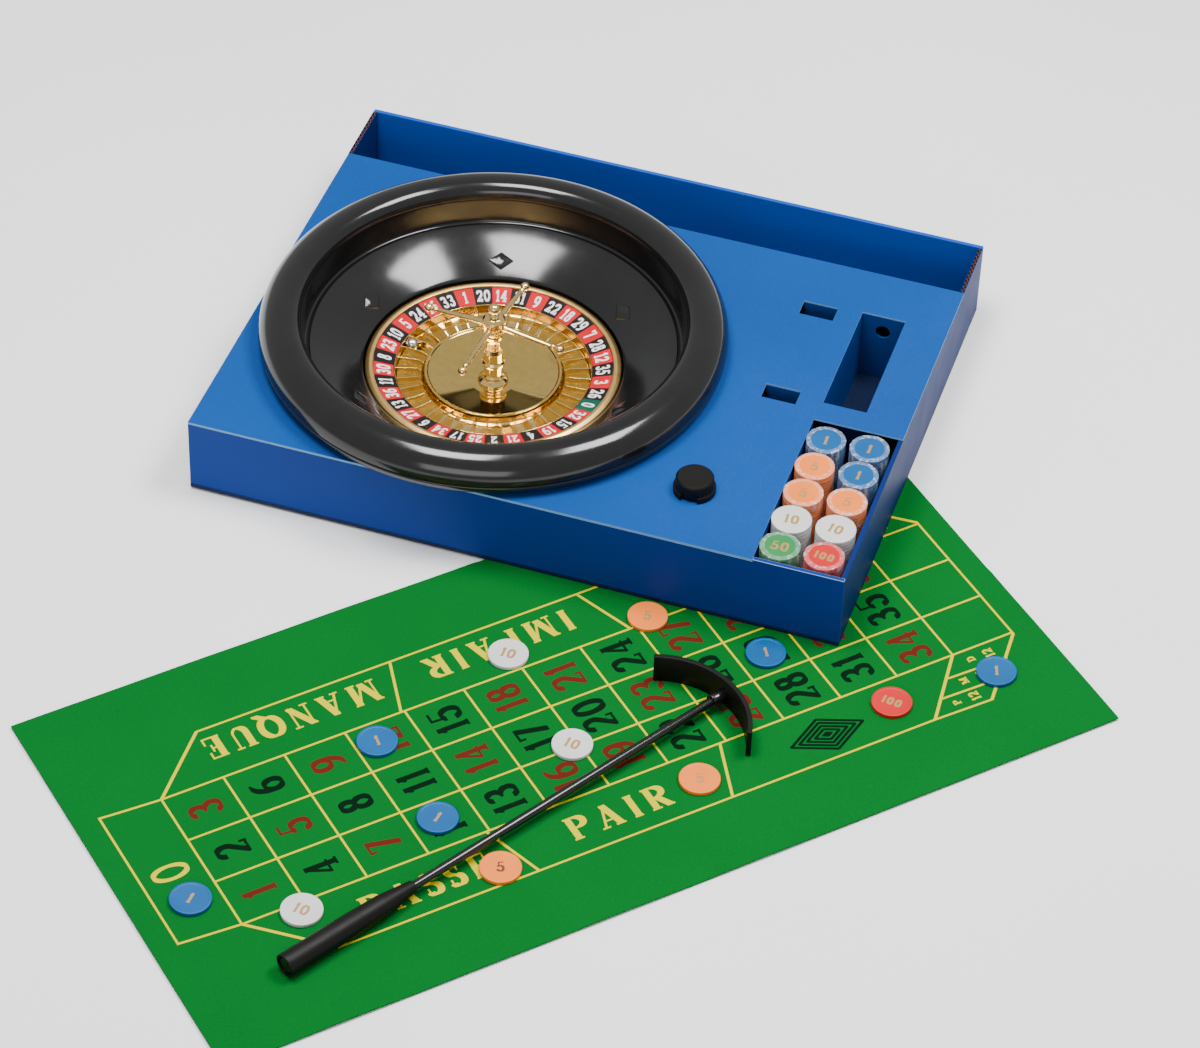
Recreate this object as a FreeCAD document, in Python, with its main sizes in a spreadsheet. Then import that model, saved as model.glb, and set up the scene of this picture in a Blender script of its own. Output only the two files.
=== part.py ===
import FreeCAD, Part
import math
import os
import Sketcher

# Table-top roulette set: a card tray with a card insert, a spinning wheel in a bowl, stacks of
# chips, and a playing cloth with loose chips and a chip rake. All sizes are in millimetres.
# Frame: +X along the tray's long side, -Y towards the player, +Z up, Z = 0 on the table top,
# X = Y = 0 at the middle of the whole set's footprint.

SIZES = {
    # playing cloth
    "cloth_long": 500.0,
    "cloth_wide": 250.0,
    "cloth_thick": 0.8,
    "cloth_turn": 46.8,
    # card tray
    "tray_long": 358.0,
    "tray_deep": 285.0,
    "deck_top": 46.0,
    "board": 2.5,
    # folded card insert
    "card": 1.2,
    "insert_deep": 242.0,
    "insert_gap": 0.3,
    "wheel_hole_radius": 108.0,
    "chip_well_left": 309.0,
    "chip_well_back": 114.6,
    "chip_well_inset": 2.8,
    "store_well_left": 310.0,
    "store_well_right": 334.0,
    "store_well_front": 129.0,
    "store_well_back": 207.6,
    "peephole_radius": 4.0,
    "peephole_drop": 11.0,
    "slot_left": 277.5,
    "slot_long": 19.0,
    "slot_deep": 11.0,
    "front_slot_front": 122.4,
    "back_slot_front": 195.0,
    "slot_tab_drop": 16.0,
    # knob standing in the insert
    "knob_x": 266.0,
    "knob_y": 40.0,
    "knob_hole_radius": 8.0,
    "knob_stem_radius": 7.6,
    "knob_stem_drop": 10.0,
    "knob_flange_radius": 11.2,
    "knob_flange_rise": 3.4,
    "knob_cap_radius": 10.0,
    "knob_cap_rise": 10.0,
    "knob_bevel": 1.0,
    "knob_notch": 4.5,
    # wheel axis and bowl
    "wheel_x": 129.5,
    "wheel_y": 117.0,
    "rest_gap": 0.3,
    "bowl_base_radius": 121.0,
    "bowl_shell": 2.2,
    "rim_reach": 126.0,
    "rim_reach_height": 53.5,
    "rim_foot_round": 9.0,
    "rim_round": 15.0,
    "crest_radius": 110.5,
    "crest_height": 68.5,
    "rim_inner_round": 8.0,
    "lip_radius": 102.9,
    "lip_height": 58.0,
    "track_wall_height": 47.0,
    "track_outer_radius": 102.6,
    "track_round": 3.4,
    "apron_top_radius": 98.8,
    "apron_top_height": 45.8,
    "apron_foot_radius": 70.4,
    "apron_foot_height": 29.8,
    "well_floor": 9.0,
    "boss_radius": 7.0,
    "boss_top": 12.5,
    "foot_ring_radius": 60.0,
    "foot_ring_wall": 3.0,
    "foot_ring_bottom": 4.5,
    "pad_radius": 4.0,
    "deflector_radius": 79.0,
    "deflector_half_long": 7.0,
    "deflector_half_wide": 4.4,
    "deflector_rise": 1.4,
    "deflector_turn": 46.0,
    # spindle
    "pin_radius": 3.0,
    "pin_top": 38.0,
    "bush_radius": 4.6,
    "bush_bore": 3.05,
    "bush_top": 36.0,
    "washer_top": 13.2,
    "screw_head_radius": 4.5,
    "screw_head_bottom": 4.9,
    # rotor
    "rotor_bottom": 13.6,
    "hub_radius": 8.0,
    "plate_floor": 16.2,
    "rotor_radius": 68.6,
    "rotor_chamfer": 2.6,
    "trim_radius": 69.3,
    "trim_inner_radius": 64.6,
    "trim_top": 30.0,
    "trim_round": 2.8,
    "number_inner_radius": 53.8,
    "number_inner_height": 25.4,
    "number_outer_height": 28.1,
    "number_thick": 0.6,
    "pocket_outer_radius": 53.2,
    "pocket_inner_radius": 37.4,
    "pocket_floor": 20.0,
    "fret_height": 4.6,
    "fret_thick": 0.7,
    "pocket_count": 37,
    "zero_turn": 347.9,
    "dish_radius": 37.2,
    "dish_rim_height": 24.8,
    "dish_thick": 1.0,
    "dish_centre_radius": 12.0,
    "dish_centre_height": 18.0,
    # turret
    "turret_foot_radius": 8.4,
    "turret_foot_round": 5.0,
    "turret_base_top": 30.0,
    "turret_waist": 4.2,
    "column_top": 50.0,
    "crown_radius": 6.3,
    "crown_round": 5.0,
    "crown_top": 63.0,
    "finial_top": 71.0,
    "finial_radius": 3.3,
    "arm_count": 4,
    "arm_turn": 353.5,
    "arm_root_height": 56.6,
    "arm_tip_height": 54.5,
    "arm_root_radius": 1.7,
    "arm_end_radius": 1.2,
    "arm_reach": 36.5,
    "tip_radius": 2.5,
    # ball
    "ball_radius": 3.6,
    "ball_orbit": 49.3,
    "ball_pocket": 18,
    "ball_gap": 0.1,
    # chips
    "chip_radius": 10.5,
    "chip_thick": 2.2,
    "chip_bevel": 0.25,
    "stack_count": 20,
    "left_stack_x": 319.9,
    "left_stack_first": 14.0,
    "left_stack_step": 21.5,
    "right_stack_x": 343.3,
    "right_stack_first": 14.4,
    "right_stack_step": 21.7,
    # rake
    "rake_along": 50.0,
    "rake_across": 39.0,
    "rake_turn": 12.7,
    "rake_axis_height": 6.4,
    "handle_radius": 6.2,
    "handle_long": 80.0,
    "handle_taper": 24.0,
    "handle_nose_radius": 3.2,
    "handle_bore_deep": 60.0,
    "rod_radius": 2.4,
    "rod_end": 283.0,
    "socket_radius": 3.6,
    "socket_long": 8.0,
    "blade_round": 47.7,
    "blade_thick": 2.6,
    "blade_high": 17.0,
    "blade_half_angle": 50.0,
    "end_cap_thick": 2.0,
    "end_cap_recess": 0.6,
    "end_cap_bevel": 0.8,
    "end_cap_border": 2.0,
}

# Loose chips on the cloth: colour, place along the cloth's long side and across its short side.
LOOSE_CHIPS = [
    ("orange", 322.5, 172.5),
    ("white", 245.5, 181.0),
    ("blue", 158.0, 156.0),
    ("white", 244.0, 109.5),
    ("blue", 363.5, 121.5),
    ("blue", 462.0, 56.0),
    ("red", 402.5, 61.5),
    ("orange", 289.0, 59.5),
    ("blue", 161.0, 95.5),
    ("orange", 173.0, 52.0),
    ("white", 75.0, 71.5),
    ("blue", 30.5, 102.5),
]

# Stacked chips in the tray, front to back in each column.
LEFT_STACKS = ["green", "white", "orange", "orange", "blue"]
RIGHT_STACKS = ["red", "white", "orange", "blue", "blue"]

# Where the cloth's near corner lies from the tray's front left corner.
CLOTH_FROM_TRAY_X = 164.2
CLOTH_FROM_TRAY_Y = -366.6

turn = math.radians(SIZES["cloth_turn"])
cloth_span = SIZES["cloth_long"] * math.cos(turn) + SIZES["cloth_wide"] * math.sin(turn)
set_depth = SIZES["tray_deep"] - CLOTH_FROM_TRAY_Y
SIZES["cloth_x"] = SIZES["cloth_wide"] * math.sin(turn) - cloth_span / 2
SIZES["cloth_y"] = -set_depth / 2
SIZES["tray_x"] = SIZES["cloth_x"] - CLOTH_FROM_TRAY_X
SIZES["tray_y"] = SIZES["cloth_y"] - CLOTH_FROM_TRAY_Y

doc = FreeCAD.newDocument("RouletteSet")
sheet = doc.addObject("Spreadsheet::Sheet", "Sizes")
for row, (name, number) in enumerate(SIZES.items(), start=1):
    sheet.set(f"A{row}", name)
    sheet.set(f"B{row}", f"{number:.6g}")
    sheet.setAlias(f"B{row}", name)
doc.recompute()

Vector = FreeCAD.Vector
UP = Vector(0, 0, 1)
finished = []


def size(name):
    """A driving dimension, read from the sheet."""
    return float(sheet.get(name))


def total(text):
    """The value of a sum of sheet names and numbers, such as 'deck_top - card'."""
    result = 0.0
    sign = 1.0
    for word in text.split():
        if word in ("+", "-"):
            sign = 1.0 if word == "+" else -1.0
        else:
            result += sign * (size(word) if word in SIZES else float(word))
            sign = 1.0
    return result


def bound(text):
    """The same sum as an expression on the sheet."""
    words = [f"Sizes.{word}" if word in SIZES else word for word in text.split()]
    return " ".join(words)


def place(part, x, y, z, turned_by="0"):
    """Bind a sub-part's Placement to the sheet."""
    part.setExpression("Placement.Base.x", bound(x))
    part.setExpression("Placement.Base.y", bound(y))
    part.setExpression("Placement.Base.z", bound(z))
    if turned_by != "0":
        part.Placement = FreeCAD.Placement(Vector(0, 0, 0), UP, 1)
        part.setExpression("Placement.Rotation.Angle", bound(turned_by))
    finished.append(part)


def in_tray(part, x="0", y="0"):
    """Place a sub-part from the tray's front left corner, on top of the cloth."""
    place(part, f"tray_x + {x}", f"tray_y + {y}", "cloth_thick")


def at_wheel(part):
    """Place a sub-part on the wheel's axis."""
    in_tray(part, "wheel_x", "wheel_y")


def new_body(label):
    body = doc.addObject("PartDesign::Body", label)
    body.Label = label
    return body


def new_sketch(body, name, plane_role, lift="0"):
    """A sketch on one of the body's own origin planes, lifted along the plane's normal."""
    sketch = body.newObject("Sketcher::SketchObject", name)
    plane = [p for p in body.Origin.OriginFeatures if p.Role == plane_role][0]
    sketch.AttachmentSupport = [(plane, "")]
    sketch.MapMode = "FlatFace"
    if lift != "0":
        sketch.setExpression("AttachmentOffset.Base.z", bound(lift))
    return sketch


def fix(sketch, kind, target, text):
    """A dimension constraint bound to the sheet."""
    number = sketch.addConstraint(Sketcher.Constraint(kind, *target, total(text)))
    sketch.setExpression(f"Constraints[{number}]", bound(text))


def arc_along(first, last, radius, bend):
    """The short arc from first to last, bulging to the left (bend 1) or right (bend -1)."""
    chord = last - first
    left = Vector(-chord.y, chord.x, 0).normalize()
    depth = math.sqrt(radius ** 2 - (chord.Length / 2) ** 2)
    centre = (first + last) * 0.5 - left * (bend * depth)
    begin, finish = (last, first) if bend > 0 else (first, last)
    low = math.atan2(begin.y - centre.y, begin.x - centre.x)
    high = math.atan2(finish.y - centre.y, finish.x - centre.x)
    if high < low:
        high += 2 * math.pi
    return Part.ArcOfCircle(Part.Circle(centre, UP, radius), low, high)


def draw_outline(sketch, points):
    """A closed outline. A point is (across, up), or (across, up, radius, bend) after an arc."""
    places = [Vector(total(p[0]), total(p[1]), 0) for p in points]
    ends = []
    for index, point in enumerate(points):
        first = places[index - 1]
        last = places[index]
        if len(point) == 2:
            sketch.addGeometry(Part.LineSegment(first, last))
            ends.append(2)
        else:
            sketch.addGeometry(arc_along(first, last, total(point[2]), point[3]))
            ends.append(1 if point[3] > 0 else 2)
    for index, point in enumerate(points):
        following = (index + 1) % len(points)
        start = 3 - ends[following]
        sketch.addConstraint(
            Sketcher.Constraint("Coincident", index, ends[index], following, start))
        fix(sketch, "DistanceX", (-1, 1, index, ends[index]), point[0])
        fix(sketch, "DistanceY", (-1, 1, index, ends[index]), point[1])
        if len(point) == 4:
            fix(sketch, "Radius", (index,), point[2])


def draw_circle(sketch, x, y, radius):
    number = sketch.addGeometry(Part.Circle(Vector(total(x), total(y), 0), UP, total(radius)))
    fix(sketch, "DistanceX", (-1, 1, number, 3), x)
    fix(sketch, "DistanceY", (-1, 1, number, 3), y)
    fix(sketch, "Radius", (number,), radius)


def rectangle(left, front, right, back):
    return [(left, front), (right, front), (right, back), (left, back)]


def pad(body, sketch, height):
    feature = body.newObject("PartDesign::Pad", f"{body.Name}_pad")
    feature.Profile = sketch
    feature.setExpression("Length", bound(height))
    return feature


def cut_through(body, sketch, depth):
    """A pocket that goes down from the sketch, checked to take material away."""
    doc.recompute()
    before = body.Shape.Volume
    feature = body.newObject("PartDesign::Pocket", f"{sketch.Name}_pocket")
    feature.Profile = sketch
    feature.setExpression("Length", bound(depth))
    feature.Reversed = True
    doc.recompute()
    assert body.Shape.Volume < before, f"{sketch.Name} cuts nothing"


def turned(label, outline):
    """A turned sub-part: its outline is (radius, height) from the axis."""
    body = new_body(label)
    sketch = new_sketch(body, f"{label}_profile", "XZ_Plane")
    draw_outline(sketch, outline)
    feature = body.newObject("PartDesign::Revolution", f"{label}_turn")
    feature.Profile = sketch
    feature.ReferenceAxis = (sketch, ["V_Axis"])
    feature.Angle = 360
    return body


def panel(label, left, front, right, back, bottom, height):
    """A flat rectangular panel of board or card."""
    body = new_body(label)
    sketch = new_sketch(body, f"{label}_outline", "XY_Plane", bottom)
    draw_outline(sketch, rectangle(left, front, right, back))
    pad(body, sketch, height)
    return body


def side_wall(label, left, front_end):
    """A tray side wall, lower by the card's thickness where it carries the insert."""
    body = new_body(label)
    sketch = new_sketch(body, f"{label}_outline", "YZ_Plane", left)
    draw_outline(sketch, [
        ("board", "board"),
        ("tray_deep - board", "board"),
        ("tray_deep - board", "deck_top"),
        ("insert_deep + insert_gap", "deck_top"),
        ("insert_deep + insert_gap", "deck_top - card"),
    ] + front_end)
    pad(body, sketch, "board")
    return body


def front_wall():
    """The tray's front wall, full height beside the chip well and lower under the insert."""
    body = new_body("tray_front_wall")
    sketch = new_sketch(body, "tray_front_wall_outline", "XZ_Plane")
    draw_outline(sketch, [
        ("0", "board"),
        ("tray_long", "board"),
        ("tray_long", "deck_top"),
        ("chip_well_left + insert_gap", "deck_top"),
        ("chip_well_left + insert_gap", "deck_top - card"),
        ("0", "deck_top - card"),
    ])
    feature = pad(body, sketch, "board")
    feature.Reversed = True
    return body


def make_tray():
    floor = panel("tray_floor", "0", "0", "tray_long", "tray_deep", "0", "board")
    front = front_wall()
    back = panel("tray_back_wall", "0", "tray_deep - board", "tray_long", "tray_deep", "board",
                 "deck_top - board")
    left = side_wall("tray_left_wall", "0", [("board", "deck_top - card")])
    right = side_wall("tray_right_wall", "tray_long - board", [
        ("chip_well_back - insert_gap", "deck_top - card"),
        ("chip_well_back - insert_gap", "deck_top"),
        ("board", "deck_top"),
    ])
    for part in (floor, front, back, left, right):
        in_tray(part)


def make_insert_deck():
    """The flat top of the folded insert: its front right corner is cut out for the chips."""
    deck = new_body("insert_deck")
    plate = new_sketch(deck, "deck_outline", "XY_Plane", "deck_top - card")
    draw_outline(plate, [
        ("0", "0"),
        ("chip_well_left", "0"),
        ("chip_well_left", "chip_well_back"),
        ("tray_long", "chip_well_back"),
        ("tray_long", "insert_deep"),
        ("0", "insert_deep"),
    ])
    pad(deck, plate, "card")
    holes = {
        "store_well": rectangle("store_well_left", "store_well_front",
                                "store_well_right", "store_well_back"),
        "front_slot": rectangle("slot_left", "front_slot_front",
                                "slot_left + slot_long", "front_slot_front + slot_deep"),
        "back_slot": rectangle("slot_left", "back_slot_front",
                               "slot_left + slot_long", "back_slot_front + slot_deep"),
    }
    for name, outline in holes.items():
        sketch = new_sketch(deck, name, "XY_Plane", "deck_top - card")
        draw_outline(sketch, outline)
        cut_through(deck, sketch, "card")
    for name, x, y, radius in (("wheel_hole", "wheel_x", "wheel_y", "wheel_hole_radius"),
                               ("knob_hole", "knob_x", "knob_y", "knob_hole_radius")):
        sketch = new_sketch(deck, name, "XY_Plane", "deck_top - card")
        draw_circle(sketch, x, y, radius)
        cut_through(deck, sketch, "card")
    in_tray(deck)


def make_insert_flaps():
    """Flaps folded down from the deck: trough front, chip well side, store well and slots."""
    drop = "deck_top - card - board"
    trough = panel("insert_back_flap", "board + insert_gap", "insert_deep - card",
                   "tray_long - board - insert_gap", "insert_deep", "board", drop)
    in_tray(trough)
    chip_side = panel("insert_chip_flap", "chip_well_left - card", "chip_well_inset",
                      "chip_well_left", "chip_well_back", "board", drop)
    in_tray(chip_side)

    sides = new_body("insert_store_sides")
    sketch = new_sketch(sides, "store_sides_outline", "XY_Plane", "board")
    draw_outline(sketch, [
        ("store_well_left - card", "store_well_front - card"),
        ("store_well_right + card", "store_well_front - card"),
        ("store_well_right + card", "store_well_back"),
        ("store_well_right", "store_well_back"),
        ("store_well_right", "store_well_front"),
        ("store_well_left", "store_well_front"),
        ("store_well_left", "store_well_back"),
        ("store_well_left - card", "store_well_back"),
    ])
    pad(sides, sketch, drop)
    in_tray(sides)

    back = new_body("insert_store_back")
    sketch = new_sketch(back, "store_back_outline", "XZ_Plane")
    draw_outline(sketch, rectangle("store_well_left - card", "board",
                                   "store_well_right + card", "deck_top - card"))
    middle = (size("store_well_left") + size("store_well_right")) / 2
    hole = Part.Circle(Vector(middle, size("deck_top") - size("peephole_drop"), 0), UP,
                       size("peephole_radius"))
    number = sketch.addGeometry(hole)
    fix(sketch, "Radius", (number,), "peephole_radius")
    fix(sketch, "DistanceY", (-1, 1, number, 3), "deck_top - peephole_drop")
    half = sketch.addConstraint(Sketcher.Constraint("DistanceX", -1, 1, number, 3, middle))
    sketch.setExpression(f"Constraints[{half}]",
                         "(Sizes.store_well_left + Sizes.store_well_right) / 2")
    feature = pad(back, sketch, "card")
    feature.Reversed = True
    in_tray(back, "0", "store_well_back")

    tabs = []
    for name, front in (("front", "front_slot_front"), ("back", "back_slot_front")):
        tab = doc.addObject("Part::Box", f"{name}_slot_tab")
        tab.setExpression("Length", "Sizes.slot_long")
        tab.setExpression("Width", "Sizes.card")
        tab.setExpression("Height", "Sizes.slot_tab_drop")
        tab.setExpression("Placement.Base.x", "Sizes.slot_left")
        tab.setExpression("Placement.Base.y", bound(f"{front} + slot_deep"))
        tab.setExpression("Placement.Base.z", bound("deck_top - card - slot_tab_drop"))
        tabs.append(tab)
    both = doc.addObject("Part::Compound", "insert_slot_tabs")
    both.Links = tabs
    both.Label = "insert_slot_tabs"
    in_tray(both)


def make_knob():
    knob = turned("insert_knob", [
        ("0", "deck_top - knob_stem_drop"),
        ("knob_stem_radius", "deck_top - knob_stem_drop"),
        ("knob_stem_radius", "deck_top"),
        ("knob_flange_radius", "deck_top"),
        ("knob_flange_radius", "deck_top + knob_flange_rise"),
        ("knob_cap_radius", "deck_top + knob_flange_rise"),
        ("knob_cap_radius", "deck_top + knob_cap_rise - knob_bevel"),
        ("knob_cap_radius - knob_bevel", "deck_top + knob_cap_rise"),
        ("0", "deck_top + knob_cap_rise"),
    ])
    notch = new_sketch(knob, "knob_notch_outline", "XY_Plane", "deck_top")
    draw_outline(notch, [
        ("0 - knob_notch", "0 - knob_flange_radius - 1"),
        ("knob_notch", "0 - knob_flange_radius - 1"),
        ("knob_notch", "1 - knob_cap_radius"),
        ("0 - knob_notch", "1 - knob_cap_radius"),
    ])
    cut_through(knob, notch, "knob_flange_rise")
    in_tray(knob, "knob_x", "knob_y")


def make_bowl():
    """One moulded shell: rolled rim, ball track, sloping apron, rotor well and foot ring."""
    bowl = turned("wheel_bowl", [
        ("pin_radius", "well_floor - bowl_shell"),
        ("pin_radius", "boss_top"),
        ("boss_radius", "boss_top"),
        ("boss_radius", "well_floor"),
        ("apron_foot_radius", "well_floor"),
        ("apron_foot_radius", "apron_foot_height"),
        ("apron_top_radius", "apron_top_height"),
        ("track_outer_radius", "track_wall_height", "track_round", -1),
        ("lip_radius", "lip_height"),
        ("crest_radius", "crest_height", "rim_inner_round", 1),
        ("rim_reach", "rim_reach_height", "rim_round", 1),
        ("bowl_base_radius", "deck_top + rest_gap", "rim_foot_round", 1),
        ("bowl_base_radius - bowl_shell", "deck_top + rest_gap"),
        ("rim_reach - bowl_shell", "rim_reach_height"),
        ("crest_radius", "crest_height - bowl_shell", "rim_round - bowl_shell", -1),
        ("lip_radius + bowl_shell", "lip_height + 0.4", "rim_inner_round - bowl_shell", -1),
        ("track_outer_radius + bowl_shell", "apron_top_height - bowl_shell - 2.4"),
        ("apron_top_radius", "apron_top_height - bowl_shell - 2.4"),
        ("apron_foot_radius + bowl_shell", "apron_foot_height - bowl_shell + 0.9"),
        ("apron_foot_radius + bowl_shell", "well_floor - bowl_shell"),
        ("foot_ring_radius", "well_floor - bowl_shell"),
        ("foot_ring_radius", "foot_ring_bottom"),
        ("foot_ring_radius - foot_ring_wall", "foot_ring_bottom"),
        ("foot_ring_radius - foot_ring_wall", "well_floor - bowl_shell"),
    ])
    at_wheel(bowl)


def make_deflectors():
    """Six lozenges standing on the conical apron, as a group of separate solids."""
    foot = Vector(size("apron_foot_radius"), 0, size("apron_foot_height"))
    head = Vector(size("apron_top_radius"), 0, size("apron_top_height"))
    normal = Vector(foot.z - head.z, 0, head.x - foot.x).normalize() * size("deflector_rise")
    slab = Part.Face(Part.makePolygon([foot, head, head + normal, foot + normal, foot]))
    slab = slab.revolve(Vector(0, 0, 0), UP, 360)
    half_long = size("deflector_half_long")
    half_wide = size("deflector_half_wide")
    middle = size("deflector_radius")
    corners = [Vector(middle - half_wide, 0, 0), Vector(middle, half_long, 0),
               Vector(middle + half_wide, 0, 0), Vector(middle, -half_long, 0)]
    prism = Part.Face(Part.makePolygon(corners + corners[:1])).extrude(UP * size("deck_top"))
    lozenge = slab.common(prism).Solids[0]
    lozenges = []
    for index in range(6):
        copy = lozenge.copy()
        copy.rotate(Vector(0, 0, 0), UP, size("deflector_turn") + 60 * index)
        lozenges.append(copy)
    part = doc.addObject("Part::Feature", "ball_deflectors")
    part.Label = "ball_deflectors"
    part.Shape = Part.Compound(lozenges)
    at_wheel(part)


def make_spindle():
    pin = turned("spindle_pin", [
        ("0", "well_floor - bowl_shell"),
        ("pin_radius", "well_floor - bowl_shell"),
        ("pin_radius", "pin_top - 0.6"),
        ("pin_radius - 0.6", "pin_top"),
        ("0", "pin_top"),
    ])
    at_wheel(pin)
    screw = turned("spindle_screw", [
        ("0", "screw_head_bottom"),
        ("screw_head_radius - 0.5", "screw_head_bottom"),
        ("screw_head_radius", "screw_head_bottom + 0.5"),
        ("screw_head_radius", "well_floor - bowl_shell"),
        ("0", "well_floor - bowl_shell"),
    ])
    at_wheel(screw)
    washer = turned("spindle_washer", [
        ("bush_bore", "boss_top"),
        ("boss_radius - 0.3", "boss_top"),
        ("boss_radius - 0.3", "washer_top"),
        ("bush_bore", "washer_top"),
    ])
    at_wheel(washer)


def make_foot_pads():
    """Three round rubber pads under the foot ring."""
    pads = []
    orbit = size("foot_ring_radius") - size("foot_ring_wall") / 2
    for index in range(3):
        pad_foot = doc.addObject("Part::Cylinder", f"foot_pad_{index + 1}")
        pad_foot.setExpression("Radius", "Sizes.pad_radius")
        pad_foot.setExpression("Height", "Sizes.foot_ring_bottom - Sizes.board")
        angle = math.radians(90 + 120 * index)
        at = Vector(orbit * math.cos(angle), orbit * math.sin(angle), size("board"))
        pad_foot.Placement = FreeCAD.Placement(at, FreeCAD.Rotation())
        pads.append(pad_foot)
    group = doc.addObject("Part::Compound", "foot_pads")
    group.Links = pads
    group.Label = "foot_pads"
    at_wheel(group)


def make_rotor():
    plate = turned("rotor_plate", [
        ("bush_radius", "rotor_bottom"),
        ("rotor_radius - rotor_chamfer", "rotor_bottom"),
        ("rotor_radius", "rotor_bottom + rotor_chamfer"),
        ("rotor_radius", "number_outer_height - 1.1"),
        ("trim_inner_radius", "number_outer_height - 1.1"),
        ("trim_inner_radius", "number_outer_height"),
        ("number_inner_radius", "number_inner_height"),
        ("pocket_outer_radius", "number_inner_height + 0.6"),
        ("pocket_outer_radius", "pocket_floor"),
        ("pocket_inner_radius", "pocket_floor"),
        ("pocket_inner_radius", "plate_floor"),
        ("hub_radius", "plate_floor"),
        ("hub_radius", "dish_centre_height"),
        ("bush_radius", "dish_centre_height"),
    ])
    at_wheel(plate)
    bush = turned("bearing_bush", [
        ("bush_bore", "rotor_bottom"),
        ("bush_radius", "rotor_bottom"),
        ("bush_radius", "dish_centre_height"),
        ("bush_radius - 0.5", "dish_centre_height"),
        ("bush_radius - 0.5", "bush_top"),
        ("bush_bore", "bush_top"),
    ])
    at_wheel(bush)
    numbers = turned("number_ring", [
        ("number_inner_radius", "number_inner_height"),
        ("trim_inner_radius", "number_outer_height"),
        ("trim_inner_radius", "number_outer_height + number_thick"),
        ("number_inner_radius", "number_inner_height + number_thick"),
    ])
    at_wheel(numbers)
    trim = turned("ring_trim", [
        ("trim_inner_radius", "number_outer_height - 1.1"),
        ("trim_radius", "number_outer_height - 1.1"),
        ("trim_inner_radius", "trim_top - 0.9", "trim_round", -1),
    ])
    at_wheel(trim)
    dish = turned("centre_dish", [
        ("hub_radius + 0.2", "dish_centre_height - dish_thick"),
        ("dish_centre_radius", "dish_centre_height - dish_thick"),
        ("dish_radius", "dish_rim_height - dish_thick"),
        ("dish_radius", "dish_rim_height"),
        ("dish_radius - 1.4", "dish_rim_height"),
        ("dish_centre_radius", "dish_centre_height"),
        ("hub_radius + 0.2", "dish_centre_height"),
    ])
    at_wheel(dish)


def make_frets():
    """Thin radial walls between the pockets, as a group of separate solids."""
    step = 360 / size("pocket_count")
    low = size("pocket_inner_radius")
    high = size("pocket_outer_radius")
    floor = size("pocket_floor")
    top = floor + size("fret_height")
    outline = [Vector(low, 0, floor), Vector(high, 0, floor), Vector(high, 0, top),
               Vector(low + 4, 0, top), Vector(low, 0, top - 2)]
    fin = Part.Face(Part.makePolygon(outline + outline[:1]))
    fin = fin.extrude(Vector(0, size("fret_thick"), 0))
    fin.translate(Vector(0, -size("fret_thick") / 2, 0))
    inside = Part.makeCylinder(high, top + 5)
    fin = fin.common(inside).Solids[0]
    fins = []
    for index in range(int(size("pocket_count"))):
        copy = fin.copy()
        copy.rotate(Vector(0, 0, 0), UP, size("zero_turn") + step * (index + 0.5))
        fins.append(copy)
    part = doc.addObject("Part::Feature", "pocket_frets")
    part.Label = "pocket_frets"
    part.Shape = Part.Compound(fins)
    at_wheel(part)


def make_turret():
    base = turned("turret_base", [
        ("bush_radius - 0.4", "dish_centre_height"),
        ("turret_foot_radius", "dish_centre_height"),
        ("turret_foot_radius", "dish_centre_height + 1.2"),
        ("turret_waist + 1.4", "dish_centre_height + 3.6", "turret_foot_round", 1),
        ("turret_waist + 2", "dish_centre_height + 4.6"),
        ("turret_waist + 1", "dish_centre_height + 5.8"),
        ("turret_waist + 1", "turret_base_top"),
        ("bush_radius - 0.4", "turret_base_top"),
    ])
    at_wheel(base)
    column = turned("turret_column", [
        ("bush_radius - 0.4", "turret_base_top"),
        ("turret_waist + 2.2", "turret_base_top"),
        ("turret_waist + 2.2", "turret_base_top + 1.6"),
        ("turret_waist + 1.2", "turret_base_top + 3"),
        ("turret_waist + 0.9", "pin_top + 0.5"),
        ("turret_waist", "pin_top + 3"),
        ("turret_waist - 0.9", "column_top - 4"),
        ("turret_waist + 0.6", "column_top - 1.6"),
        ("turret_waist + 0.6", "column_top"),
        ("0", "column_top"),
        ("0", "pin_top + 1"),
        ("bush_radius - 0.4", "pin_top + 1"),
    ])
    at_wheel(column)
    crown = turned("turret_crown", [
        ("0", "column_top"),
        ("crown_radius - 2.4", "column_top"),
        ("crown_radius", "column_top + 3", "crown_round", -1),
        ("crown_radius", "crown_top - 2"),
        ("crown_radius - 1.6", "crown_top"),
        ("0", "crown_top"),
    ])
    at_wheel(crown)
    finial = turned("turret_finial", [
        ("0", "crown_top"),
        ("finial_radius - 0.4", "crown_top"),
        ("finial_radius - 1.6", "crown_top + 1.4"),
        ("finial_radius", "finial_top - finial_radius", "finial_radius", -1),
        ("0", "finial_top", "finial_radius", -1),
    ])
    at_wheel(finial)


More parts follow.
